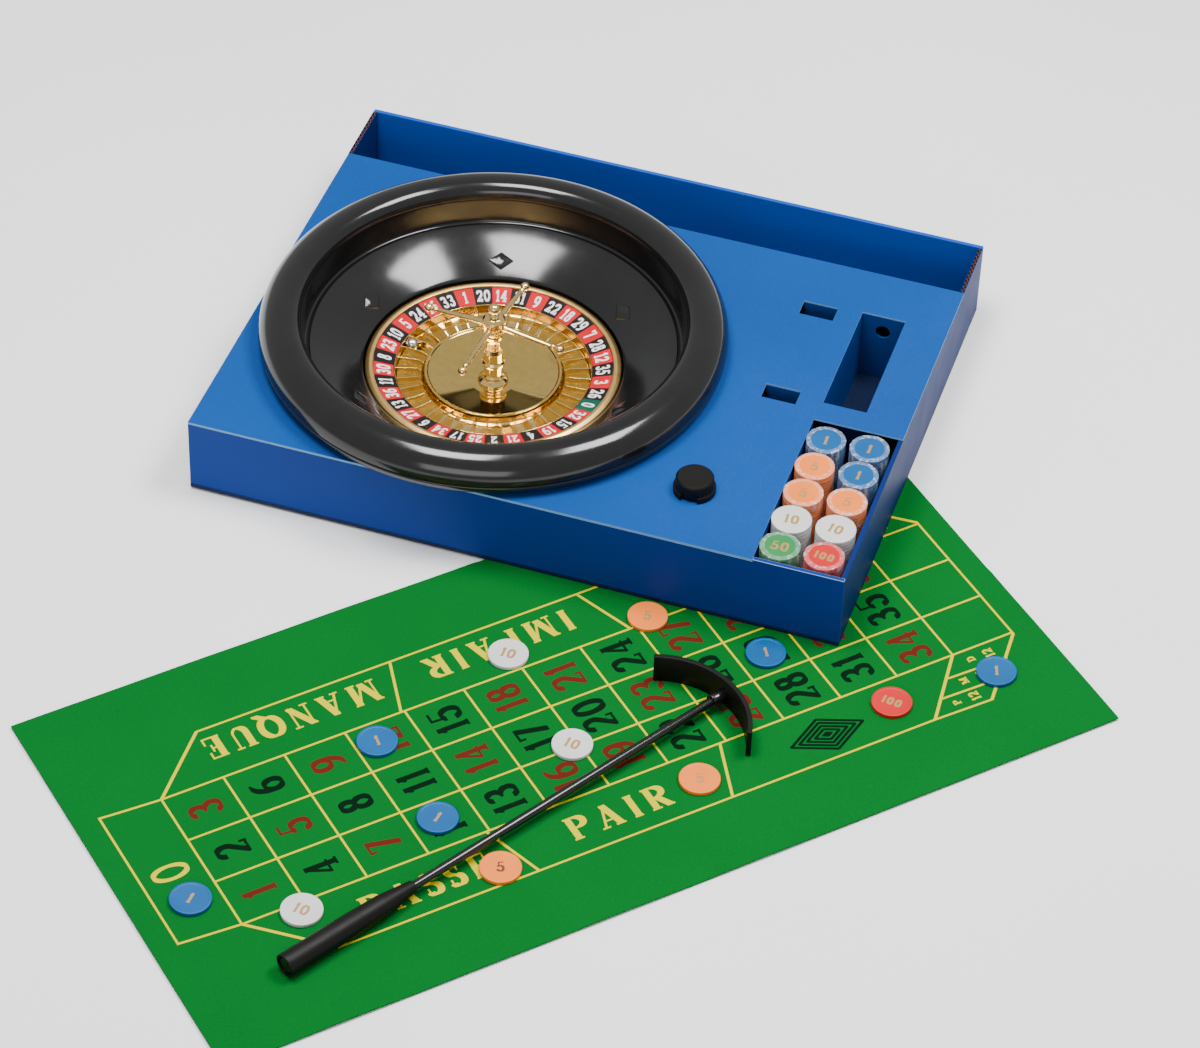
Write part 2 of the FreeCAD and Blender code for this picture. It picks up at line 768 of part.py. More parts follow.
def make_turret_arms():
    """Four slender tapered arms with round tips, each group as separate solids."""
    root_height = size("arm_root_height")
    fall = root_height - size("arm_tip_height")
    start = size("crown_radius") - 0.1
    run = Vector(size("arm_reach") - start, 0, -fall)
    root = Vector(start, 0, root_height)
    arm = Part.makeCone(size("arm_root_radius"), size("arm_end_radius"), run.Length, root, run)
    arm = arm.cut(Part.makeCylinder(size("crown_radius"), size("finial_top")))
    centre = Vector(size("arm_reach"), 0, size("arm_tip_height"))
    tip = Part.makeSphere(size("tip_radius"), centre + run.normalize() * size("tip_radius"))
    arm = arm.cut(tip)
    arms = []
    tips = []
    for index in range(int(size("arm_count"))):
        angle = size("arm_turn") + index * 360 / size("arm_count")
        for source, group in ((arm, arms), (tip, tips)):
            copy = source.copy()
            copy.rotate(Vector(0, 0, 0), UP, angle)
            group.append(copy)
    for label, group in (("turret_arms", arms), ("turret_arm_tips", tips)):
        part = doc.addObject("Part::Feature", label)
        part.Label = label
        part.Shape = Part.Compound(group)
        at_wheel(part)


def make_ball():
    """The ball lies in one of the wheel's pockets."""
    ball = doc.addObject("Part::Sphere", "ball")
    ball.Label = "ball"
    ball.setExpression("Radius", "Sizes.ball_radius")
    angle = math.radians(size("zero_turn") - size("ball_pocket") * 360 / size("pocket_count"))
    ball_x = size("wheel_x") + size("ball_orbit") * math.cos(angle)
    ball_y = size("wheel_y") + size("ball_orbit") * math.sin(angle)
    place(ball, f"tray_x + {ball_x:.3f}", f"tray_y + {ball_y:.3f}",
          "cloth_thick + pocket_floor + ball_radius + ball_gap")


def chip_outline():
    radius = size("chip_radius")
    thick = size("chip_thick")
    bevel = size("chip_bevel")
    return [Vector(0, 0, 0), Vector(radius - bevel, 0, 0), Vector(radius, 0, bevel),
            Vector(radius, 0, thick - bevel), Vector(radius - bevel, 0, thick),
            Vector(0, 0, thick)]


def make_stack(label, x, y):
    """A column of chips standing on the tray's floor, each chip its own solid."""
    points = chip_outline()
    chip = Part.Face(Part.makePolygon(points + points[:1])).revolve(Vector(0, 0, 0), UP, 360)
    chips = []
    for index in range(int(size("stack_count"))):
        copy = chip.copy()
        copy.translate(UP * (size("board") + index * size("chip_thick")))
        chips.append(copy)
    part = doc.addObject("Part::Feature", label)
    part.Label = label
    part.Shape = Part.Compound(chips)
    in_tray(part, x, f"{y:.3f}")


def make_stacks():
    columns = (("left", LEFT_STACKS), ("right", RIGHT_STACKS))
    for side, colours in columns:
        for index, colour in enumerate(colours):
            y = size(f"{side}_stack_first") + index * size(f"{side}_stack_step")
            make_stack(f"stack_{side}_{index + 1}_{colour}", f"{side}_stack_x", y)


def on_cloth(along, across):
    """A place on the cloth, from its near corner, as X and Y in the row's frame."""
    angle = math.radians(size("cloth_turn"))
    x = size("cloth_x") + along * math.cos(angle) - across * math.sin(angle)
    y = size("cloth_y") + along * math.sin(angle) + across * math.cos(angle)
    return x, y


def make_loose_chips():
    for index, (colour, along, across) in enumerate(LOOSE_CHIPS, start=1):
        chip = turned(f"loose_chip_{index:02d}_{colour}", [
            ("0", "0"),
            ("chip_radius - chip_bevel", "0"),
            ("chip_radius", "chip_bevel"),
            ("chip_radius", "chip_thick - chip_bevel"),
            ("chip_radius - chip_bevel", "chip_thick"),
            ("0", "chip_thick"),
        ])
        x, y = on_cloth(along, across)
        place(chip, f"{x:.3f}", f"{y:.3f}", "cloth_thick")


def make_cloth():
    cloth = panel("layout_cloth", "0", "0", "cloth_long", "cloth_wide", "0", "cloth_thick")
    place(cloth, "cloth_x", "cloth_y", "0", "cloth_turn")


def lay_rake(label, shape):
    """Lay a rake piece, built along +X from the handle's end, on the cloth."""
    part = doc.addObject("Part::Feature", label)
    part.Label = label
    part.Shape = shape
    x, y = on_cloth(size("rake_along"), size("rake_across"))
    base = Vector(x, y, size("cloth_thick"))
    angle = size("cloth_turn") + size("rake_turn")
    part.Placement = FreeCAD.Placement(base, FreeCAD.Rotation(UP, angle))
    finished.append(part)


def along_rake(profile):
    """A piece turned about the rake's own axis from (distance, radius) points."""
    height = size("rake_axis_height")
    points = [Vector(distance, 0, height + radius) for distance, radius in profile]
    face = Part.Face(Part.makePolygon(points + points[:1]))
    return face.revolve(Vector(0, 0, height), Vector(1, 0, 0), 360)


def make_rake():
    """Handle with an end cap, a thin rod, and a curved upright blade in a socket."""
    cap = size("end_cap_thick")
    handle = size("handle_long")
    taper = size("handle_taper")
    grip = size("handle_radius")
    nose = size("handle_nose_radius")
    rod = size("rod_radius")
    bore_start = handle - size("handle_bore_deep")
    recess = size("end_cap_recess")
    bevel = size("end_cap_bevel")
    border = grip - size("end_cap_border")
    lay_rake("rake_end_cap", along_rake([(recess, 0), (cap, 0), (cap, grip), (bevel, grip),
                                         (0, grip - bevel), (0, border),
                                         (recess, border - recess)]))
    lay_rake("rake_handle", along_rake([(cap, 0), (bore_start, 0), (bore_start, rod),
                                        (handle, rod), (handle, nose),
                                        (handle - taper, grip), (cap, grip)]))
    end = size("rod_end")
    lay_rake("rake_rod", along_rake([(bore_start, 0), (end, 0), (end, rod),
                                     (bore_start, rod)]))
    outer = size("blade_round")
    inner = outer - size("blade_thick")
    centre = Vector(end + size("blade_thick") - outer, 0, 0)
    reach = size("blade_half_angle")
    ring = Part.makeCylinder(outer, size("blade_high"), centre, UP)
    ring = ring.cut(Part.makeCylinder(inner, size("blade_high"), centre, UP))
    tangent = math.tan(math.radians(reach))
    span = outer * 2
    wedge = [centre, centre + Vector(span, -span * tangent, 0),
             centre + Vector(span, span * tangent, 0)]
    wedge = Part.Face(Part.makePolygon(wedge + wedge[:1])).extrude(UP * size("blade_high"))
    blade = ring.common(wedge).Solids[0]
    lay_rake("rake_blade", blade)
    start = end - size("socket_long")
    thick = size("socket_radius")
    socket = along_rake([(start, rod), (end + 1, rod), (end + 1, thick), (start, thick)])
    cavity = Part.makeCylinder(inner, 40, centre, UP)
    lay_rake("rake_socket", socket.common(cavity).Solids[0])


def check_and_export():
    doc.recompute()
    for thing in doc.Objects:
        faults = [state for state in thing.State if state in ("Invalid", "Error")]
        assert not faults, f"{thing.Name}: {faults}"
    for part in finished:
        assert not part.Shape.isNull(), f"{part.Label} is empty"
        assert part.Shape.isValid(), f"{part.Label} is not valid"
        assert part.Shape.Volume > 0, f"{part.Label} has no volume"
    os.makedirs("parts", exist_ok=True)
    for part in finished:
        part.Shape.exportStep(f"parts/{part.Label}.step")
    box = FreeCAD.BoundBox()
    for part in finished:
        box.add(part.Shape.BoundBox)
    print(len(finished), "sub-parts, box", [round(v, 2) for v in (
        box.XMin, box.YMin, box.ZMin, box.XMax, box.YMax, box.ZMax)])


make_cloth()
make_tray()
make_insert_deck()
make_insert_flaps()
make_knob()
make_bowl()
make_deflectors()
make_spindle()
make_foot_pads()
make_rotor()
make_frets()
make_turret()
make_turret_arms()
make_ball()
make_stacks()
make_loose_chips()
make_rake()
check_and_export()
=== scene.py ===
import math
import random

import bmesh
import bpy
from mathutils import Matrix, Vector, geometry, noise


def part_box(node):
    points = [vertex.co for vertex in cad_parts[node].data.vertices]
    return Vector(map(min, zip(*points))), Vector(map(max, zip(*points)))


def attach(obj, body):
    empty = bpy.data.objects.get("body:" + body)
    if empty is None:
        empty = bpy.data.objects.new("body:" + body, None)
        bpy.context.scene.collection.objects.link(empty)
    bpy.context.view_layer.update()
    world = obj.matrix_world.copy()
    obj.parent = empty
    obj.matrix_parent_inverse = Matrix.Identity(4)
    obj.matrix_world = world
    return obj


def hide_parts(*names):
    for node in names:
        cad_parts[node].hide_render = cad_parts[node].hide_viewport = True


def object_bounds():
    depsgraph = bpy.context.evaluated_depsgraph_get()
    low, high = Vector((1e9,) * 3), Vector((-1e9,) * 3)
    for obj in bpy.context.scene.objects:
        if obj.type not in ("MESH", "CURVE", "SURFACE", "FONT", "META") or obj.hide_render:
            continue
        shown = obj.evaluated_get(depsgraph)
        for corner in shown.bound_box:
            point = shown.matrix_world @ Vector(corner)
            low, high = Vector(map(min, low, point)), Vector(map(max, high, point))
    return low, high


# A table-top roulette set: card tray with a card insert, a wheel, stacked and loose chips, a
# printed cloth and a chip rake. Sizes in this script are in millimetres, measured up from the
# tray's underside, or from the cloth's near corner, and MM turns them into metres. Lights, the
# floor and the camera are in metres.

MM = 0.001
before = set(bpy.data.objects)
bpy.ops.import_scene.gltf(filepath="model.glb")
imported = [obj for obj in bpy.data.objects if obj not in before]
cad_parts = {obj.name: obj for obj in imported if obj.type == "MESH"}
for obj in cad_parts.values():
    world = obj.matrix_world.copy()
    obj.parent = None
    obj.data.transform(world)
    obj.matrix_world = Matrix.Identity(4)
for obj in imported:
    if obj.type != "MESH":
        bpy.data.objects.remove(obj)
cad_low, cad_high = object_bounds()

# ---------------------------------------------------------------- places taken from the frame

tray_low, tray_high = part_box("tray_floor")
bowl_low, bowl_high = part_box("wheel_bowl")
cloth_low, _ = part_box("layout_cloth")

CLOTH_LONG = 500.0
CLOTH_WIDE = 250.0
CLOTH_THICK = 0.8
CLOTH_TURN = math.radians(46.8)

TRAY = Matrix.Translation(tray_low)
WHEEL = Matrix.Translation(((bowl_low.x + bowl_high.x) / 2, (bowl_low.y + bowl_high.y) / 2,
                            tray_low.z))
cloth_corner = Vector((cloth_low.x + CLOTH_WIDE * MM * math.sin(CLOTH_TURN), cloth_low.y, 0))
CLOTH = Matrix.Translation(cloth_corner) @ Matrix.Rotation(CLOTH_TURN, 4, "Z")
TO_METRES = Matrix.Scale(MM, 4)


# ---------------------------------------------------------------- materials

class Paint:
    """A Principled material with small helpers for its node tree."""

    def __init__(self, name, roughness, metallic=0.0, specular=0.5):
        self.material = bpy.data.materials.new(name)
        self.material.use_nodes = True
        self.nodes = self.material.node_tree.nodes
        self.links = self.material.node_tree.links
        self.shader = self.nodes["Principled BSDF"]
        self.shader.inputs["Roughness"].default_value = roughness
        self.shader.inputs["Metallic"].default_value = metallic
        self.shader.inputs["Specular IOR Level"].default_value = specular
        self.place = self.nodes.new("ShaderNodeTexCoord")
        self.material["surface"] = name

    def join(self, source, target):
        self.links.new(source, target)

    def spots(self, per_metre, detail=3.0, stretch=(1, 1, 1), spin=0.0):
        """A noise pattern; per_metre is how many of its cells fit in a metre."""
        mapping = self.nodes.new("ShaderNodeMapping")
        mapping.inputs["Scale"].default_value = stretch
        mapping.inputs["Rotation"].default_value = (0, 0, spin)
        pattern = self.nodes.new("ShaderNodeTexNoise")
        pattern.inputs["Scale"].default_value = per_metre
        pattern.inputs["Detail"].default_value = detail
        self.join(self.place.outputs["Object"], mapping.inputs["Vector"])
        self.join(mapping.outputs["Vector"], pattern.inputs["Vector"])
        return pattern.outputs["Fac"]

    def grade(self, value, stops):
        """Colours or greys along a value: stops are (place, colour)."""
        ramp = self.nodes.new("ShaderNodeValToRGB")
        for index, (at, colour) in enumerate(stops):
            stop = ramp.color_ramp.elements[index] if index < 2 else \
                ramp.color_ramp.elements.new(at)
            stop.position = at
            stop.color = colour if len(colour) == 4 else (*colour, 1)
        self.join(value, ramp.inputs["Fac"])
        return ramp.outputs["Color"]

    def blend(self, factor, first, second):
        mix = self.nodes.new("ShaderNodeMix")
        mix.data_type = "RGBA"
        for socket, colour in (("A", first), ("B", second)):
            target = [s for s in mix.inputs if s.name == socket and s.type == "RGBA"][0]
            if isinstance(colour, tuple):
                target.default_value = (*colour, 1)
            else:
                self.join(colour, target)
        if isinstance(factor, float):
            mix.inputs["Factor"].default_value = factor
        else:
            self.join(factor, mix.inputs["Factor"])
        return [s for s in mix.outputs if s.type == "RGBA"][0]

    def relief(self, height, depth, strength=1.0, over=None):
        """A bump of the given depth in metres."""
        bump = self.nodes.new("ShaderNodeBump")
        bump.inputs["Distance"].default_value = depth
        bump.inputs["Strength"].default_value = strength
        self.join(height, bump.inputs["Height"])
        if over is not None:
            self.join(over, bump.inputs["Normal"])
        self.join(bump.outputs["Normal"], self.shader.inputs["Normal"])
        return bump.outputs["Normal"]

    def colour(self, source):
        self.join(source, self.shader.inputs["Base Color"])

    def gloss(self, value, smooth, rough):
        """Roughness between two values, following a pattern."""
        span = self.nodes.new("ShaderNodeMapRange")
        span.inputs["To Min"].default_value = smooth
        span.inputs["To Max"].default_value = rough
        self.join(value, span.inputs["Value"])
        self.join(span.outputs["Result"], self.shader.inputs["Roughness"])

    def facing_up(self):
        """How far the surface faces up, from the mesh's own normal."""
        parts = self.nodes.new("ShaderNodeSeparateXYZ")
        self.join(self.place.outputs["Normal"], parts.inputs["Vector"])
        return parts.outputs["Z"]


def shade(colour, factor):
    return tuple(min(1.0, channel * factor) for channel in colour)


def printed_card(name, colour, edge=None):
    """Varnished printed card: faint ink mottling, fibres under the varnish, pale cut edges (raw card plus
    a painted highlight).
    """
    paint = Paint(name, 0.5, specular=0.14)
    ink = paint.grade(paint.spots(9, 2), [(0.35, shade(colour, 0.94)), (0.65, shade(colour, 1.05))])
    fibre = paint.spots(1400, 4, stretch=(1, 0.35, 1))
    speck = paint.grade(fibre, [(0.45, (0, 0, 0)), (0.9, (1, 1, 1))])
    mixed = paint.blend(0.008, ink, speck)
    if edge is not None:
        raw = paint.grade(paint.spots(2600, 3), [(0.3, shade(edge, 0.8)), (0.7, shade(edge, 1.1))])
        # Faces that do not face up take the pale edge colour: raw cut card with a painted highlight along
        # the edges.
        top = paint.grade(paint.facing_up(), [(0.25, (0, 0, 0)), (0.8, (1, 1, 1))])
        mixed = paint.blend(top, raw, mixed)
    paint.colour(mixed)
    paint.gloss(paint.spots(45, 3), 0.45, 0.6)
    paint.relief(fibre, 0.00004, 0.35)
    return paint.material


def edged_card(name, colour, edge):
    """The same card on a wall, pale along its folded edges: ink rubbed off there, plus a painted highlight
    on the upward-tilted fold.
    """
    paint = Paint(name, 0.5, specular=0.14)
    ink = paint.grade(paint.spots(9, 2), [(0.35, shade(colour, 0.94)), (0.65, shade(colour, 1.05))])
    raw = paint.grade(paint.spots(2600, 3), [(0.3, shade(edge, 0.8)), (0.7, shade(edge, 1.1))])
    # Faces tilted partly up (the rounded folds) take the pale colour: worn ink and a painted highlight.
    fold_wear_and_highlight = paint.grade(paint.facing_up(), [(0.25, (0, 0, 0)), (0.5, (1, 1, 1)),
                                           (0.86, (1, 1, 1)), (0.96, (0, 0, 0))])
    paint.colour(paint.blend(fold_wear_and_highlight, ink, raw))
    paint.gloss(paint.spots(45, 3), 0.45, 0.6)
    paint.relief(paint.spots(1400, 4, stretch=(1, 0.35, 1)), 0.00004, 0.35)
    return paint.material


def board_core(name, colour):
    """The raw pulp of a cut board edge."""
    paint = Paint(name, 0.9, specular=0.2)
    pulp = paint.spots(2200, 4)
    paint.colour(paint.grade(pulp, [(0.3, shade(colour, 0.7)), (0.7, shade(colour, 1.2))]))
    paint.relief(pulp, 0.0001, 0.6)
    return paint.material


def plastic(name, colour, smooth, rough, texture=600, depth=0.000015, specular=0.5, speck=0.12):
    """Moulded plastic: a little colour flow, a faint moulded skin and uneven gloss."""
    paint = Paint(name, smooth, specular=specular)
    flow = paint.spots(60, 3)
    paint.colour(paint.grade(flow, [(0.3, shade(colour, 1 - speck)), (0.7, shade(colour, 1 + speck))]))
    paint.gloss(paint.spots(140, 4), smooth, rough)
    paint.relief(paint.spots(texture, 3), depth, 0.5)
    return paint.material


def plated(name, colour, smooth, rough, depth=0.00001):
    """Vacuum-plated plastic or metal."""
    paint = Paint(name, smooth, metallic=1.0)
    tint = paint.spots(220, 3)
    paint.colour(paint.grade(tint, [(0.3, shade(colour, 0.93)), (0.7, shade(colour, 1.05))]))
    paint.gloss(paint.spots(320, 3), smooth, rough)
    paint.relief(paint.spots(500, 2), depth, 0.4)
    return paint.material


def felt(name, colour, dark):
    """Dyed or printed non-woven cloth: short fibres, a fine weave and soft sheen."""
    paint = Paint(name, 0.95, specular=0.04)
    fibre = paint.spots(1500, 5)
    weft = paint.spots(900, 2, stretch=(1, 0.12, 1), spin=-CLOTH_TURN)
    patch = paint.spots(14, 3)
    base = paint.grade(fibre, [(0.3, dark), (0.62, colour)])
    cast = paint.grade(patch, [(0.3, shade(colour, 0.93)), (0.7, shade(colour, 1.05))])
    paint.colour(paint.blend(0.5, base, cast))
    first = paint.relief(weft, 0.00008, 0.5)
    paint.relief(fibre, 0.00012, 0.6, over=first)
    return paint.material


def print_ink(name, colour, metallic=0.0, roughness=0.4):
    """Hot-foil or screen print, worn thin in specks."""
    paint = Paint(name, roughness, metallic=metallic)
    wear = paint.spots(3200, 3)
    paint.colour(paint.grade(wear, [(0.3, shade(colour, 0.75)), (0.5, colour)]))
    paint.gloss(paint.spots(900, 2), roughness * 0.8, min(1.0, roughness * 1.3))
    return paint.material


def clear_film(name):
    """Thin shrink film: nearly clear, whiter where it is creased, the white partly a painted highlight."""
    paint = Paint(name, 0.07, specular=1.0)
    paint.shader.inputs["Base Color"].default_value = (0.9, 0.93, 0.95, 1)
    crease = paint.spots(420, 3, stretch=(1, 1, 0.25))
    # White, more opaque streaks on the creases: creased film, and a painted highlight on the film.
    crease_white_and_highlight = paint.grade(crease, [(0.52, (0.05, 0.05, 0.05)), (0.75, (0.42, 0.42, 0.42))])
    paint.join(crease_white_and_highlight, paint.shader.inputs["Alpha"])
    paint.relief(crease, 0.0004, 0.8)
    return paint.material


DARK_BLUE = (0.0, 0.027, 0.20)
LIGHT_BLUE = (0.0, 0.052, 0.24)
# The back wall's card is a lighter copy of the wall blue: painted light on its inner face, which lies in
# shade.
back_wall_lit_card = printed_card("back_wall_card_painted_light", (0.0, 0.062, 0.40))
light_card = printed_card("light_blue_card", LIGHT_BLUE, edge=(0.14, 0.34, 0.58))
fold_card = printed_card("folded_blue_card", (0.0, 0.040, 0.22))
edge_card = edged_card("edge_blue_card", DARK_BLUE, (0.32, 0.46, 0.66))
# The side walls get a darker copy of the wall card and of its pale edge: painted shade.
shaded_side_card = edged_card("side_blue_card_painted_shade", (0.0, 0.014, 0.105), (0.20, 0.32, 0.50))
# The tray floor is near black, far darker than the wall card: painted shade over the floor's dark blue
# card, for a floor seen only deep in the wells.
shaded_floor_card = printed_card("floor_card_painted_shade", (0.004, 0.012, 0.045))
flute = board_core("brown_flute", (0.16, 0.06, 0.03))
bowl_black = plastic("gloss_black", (0.006, 0.006, 0.006), 0.10, 0.17, texture=90, specular=0.5)
satin_black = plastic("satin_black", (0.0035, 0.003, 0.0025), 0.4, 0.55, texture=1400,
                      depth=0.00004, specular=0.18)
rod_black = plastic("rod_black", (0.005, 0.005, 0.005), 0.14, 0.2, texture=300, depth=0.000001)
gold = plated("gold", (0.86, 0.63, 0.25), 0.08, 0.16)
dish_gold = plated("dish_gold", (0.80, 0.55, 0.16), 0.045, 0.09, depth=0.000004)
trim_gold = plated("trim_gold", (0.84, 0.55, 0.20), 0.3, 0.42)
chrome = plated("chrome", (0.82, 0.81, 0.80), 0.05, 0.12)
steel = plated("steel", (0.55, 0.55, 0.56), 0.22, 0.4)
brass = plated("brass", (0.66, 0.48, 0.2), 0.2, 0.35)
nylon = plastic("nylon", (0.75, 0.74, 0.7), 0.35, 0.5)
rubber = plastic("rubber", (0.015, 0.015, 0.015), 0.7, 0.9, texture=1800, depth=0.00008)
red_cell = plastic("red_cell", (0.50, 0.003, 0.010), 0.3, 0.45, texture=800, specular=0.25)
black_cell = plastic("black_cell", (0.010, 0.006, 0.007), 0.3, 0.45, texture=800, specular=0.25)
green_cell = plastic("green_cell", (0.0, 0.075, 0.045), 0.3, 0.45, texture=800, specular=0.25)
white_print = print_ink("white_print", (0.80, 0.79, 0.78))
foil_print = print_ink("foil_print", (0.42, 0.25, 0.08), metallic=0.35, roughness=0.42)
dark_foil_print = print_ink("dark_foil_print", (0.12, 0.03, 0.01), metallic=0.2, roughness=0.5)
film = clear_film("shrink_film")
CHIP_COLOURS = {
    "blue": (0.0, 0.080, 0.25), "orange": (0.84, 0.19, 0.018), "white": (0.58, 0.57, 0.56),
    "green": (0.015, 0.20, 0.05), "red": (0.52, 0.006, 0.010),
}
chip_paint = {name: plastic(f"chip_{name}", colour, 0.35, 0.5, texture=900, specular=0.3, speck=0.06)
              for name, colour in CHIP_COLOURS.items()}
felt_green = felt("felt_green", (0.0, 0.112, 0.016), (0.0, 0.080, 0.011))
felt_yellow = felt("felt_yellow", (0.60, 0.49, 0.0), (0.50, 0.39, 0.0))
felt_red = felt("felt_red", (0.105, 0.014, 0.008), (0.07, 0.012, 0.006))
felt_black = felt("felt_black", (0.002, 0.012, 0.005), (0.001, 0.008, 0.003))


# ---------------------------------------------------------------- mesh building

class Shape:
    """Collects vertices and faces in millimetres, then makes one riding piece of them."""

    def __init__(self):
        self.points = []
        self.faces = []
        self.paints = []

    def add(self, points, faces, paint=0):
        """Faces are index lists into points; paint is one slot number, or one for each face."""
        start = len(self.points)
        self.points.extend(points)
        self.faces.extend([[start + i for i in face] for face in faces])
        self.paints.extend(paint if isinstance(paint, list) else [paint] * len(faces))

    def turn(self, outline, steps=96, paint=0, at=None, paint_of_step=None):
        """Turns a closed outline of (radius, height) about the Z axis."""
        at = at or Matrix()
        points = []
        rings = []
        for radius, height in outline:
            count = 1 if radius < 1e-6 else steps
            rings.append([len(points) + i for i in range(count)])
            for i in range(count):
                angle = 2 * math.pi * i / steps
                points.append(at @ Vector((radius * math.cos(angle), radius * math.sin(angle),
                                           height)))
        faces = []
        paints = []
        for index, ring in enumerate(rings):
            following = rings[(index + 1) % len(rings)]
            if len(ring) == 1 and len(following) == 1:
                continue
            for i in range(steps):
                j = (i + 1) % steps
                corners = [ring[i % len(ring)], ring[j % len(ring)],
                           following[j % len(following)], following[i % len(following)]]
                faces.append(list(dict.fromkeys(corners)))
                paints.append(paint_of_step(i) if paint_of_step else paint)
        self.add(points, faces, paints)

    def block(self, low, high, paint=0):
        """An upright box, for layers of board inside a wall."""
        points = [Vector((x, y, z)) for z in (low[2], high[2]) for y in (low[1], high[1])
                  for x in (low[0], high[0])]
        faces = [[0, 2, 3, 1], [4, 5, 7, 6], [0, 1, 5, 4], [1, 3, 7, 5], [3, 2, 6, 7], [2, 0, 4, 6]]
        self.add(points, faces, paint)

    def finish(self, name, place, paints, body, replaces=(), sharp=35, bevel=0):
        """Makes the piece: place is where the shape's millimetres start, in the frame."""
        mesh = bpy.data.meshes.new(name)
        mesh.from_pydata([place @ TO_METRES @ p for p in self.points], [], self.faces)
        for paint in paints:
            mesh.materials.append(paint)
        mesh.polygons.foreach_set("material_index", self.paints)
        work = bmesh.new()
        work.from_mesh(mesh)
        bmesh.ops.recalc_face_normals(work, faces=work.faces)
        work.to_mesh(mesh)
        work.free()
        piece = bpy.data.objects.new(name, mesh)
        bpy.context.scene.collection.objects.link(piece)
        mesh.shade_smooth()
        mesh.set_sharp_from_angle(angle=math.radians(sharp))
        if bevel:
            round_edges(piece, bevel)
        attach(piece, body)
        if replaces:
            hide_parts(*replaces)
        return piece


def round_edges(piece, width, angle=40, steps=2):
    """A small rounded edge where faces meet sharply; width in millimetres."""
    bevel = piece.modifiers.new("edges", "BEVEL")
    bevel.width = width * MM
    bevel.segments = steps
    bevel.limit_method = "ANGLE"
    bevel.angle_limit = math.radians(angle)
    bevel.harden_normals = True
    return bevel


def arc(x, z, radius, start, stop, steps=12):
    """Points of a round stretch, from start to stop degrees."""
    angles = [math.radians(start + (stop - start) * i / steps) for i in range(steps + 1)]
    return [(x + radius * math.cos(a), z + radius * math.sin(a)) for a in angles]


def rounded(corners, steps=4):
    """A closed outline whose corners are rounded: corners are (x, z) or (x, z, radius)."""
    outline = []
    for index, corner in enumerate(corners):
        here = Vector(corner[:2])
        if len(corner) < 3:
            outline.append((here.x, here.y))
            continue
        before = Vector(corners[index - 1][:2]) - here
        after = Vector(corners[(index + 1) % len(corners)][:2]) - here
        half = before.angle(after) / 2
        reach = min(corner[2] / math.tan(half), before.length * 0.49, after.length * 0.49)
        radius = reach * math.tan(half)
        middle = here + (before.normalized() + after.normalized()).normalized() * (
            radius / math.sin(half))
        first = here + before.normalized() * reach - middle
        last = here + after.normalized() * reach - middle
        for step in range(steps + 1):
            direction = first.lerp(last, step / steps).normalized() * radius
            outline.append((middle.x + direction.x, middle.y + direction.y))
    return outline


def keep_node(name, paint, edge=0.0):
    """Gives a carried-over node its material, clean flat faces and slightly rounded edges."""
    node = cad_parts[name]
    node.data.materials.clear()
    node.data.materials.append(paint)
    weld = node.modifiers.new("weld", "WELD")
    weld.merge_threshold = 0.000002
    flat = node.modifiers.new("flat", "DECIMATE")
    flat.decimate_type = "DISSOLVE"
    flat.angle_limit = math.radians(0.6)
    if edge:
        round_edges(node, edge)
    return node


# ---------------------------------------------------------------- printed characters

def bow(x, y, across, up, start, stop, steps=12):
    """Part of an ellipse, from start to stop degrees, in a character's unit box."""
    angles = [math.radians(start + (stop - start) * i / steps) for i in range(steps + 1)]
    return [(x + across * math.cos(a), y + up * math.sin(a)) for a in angles]


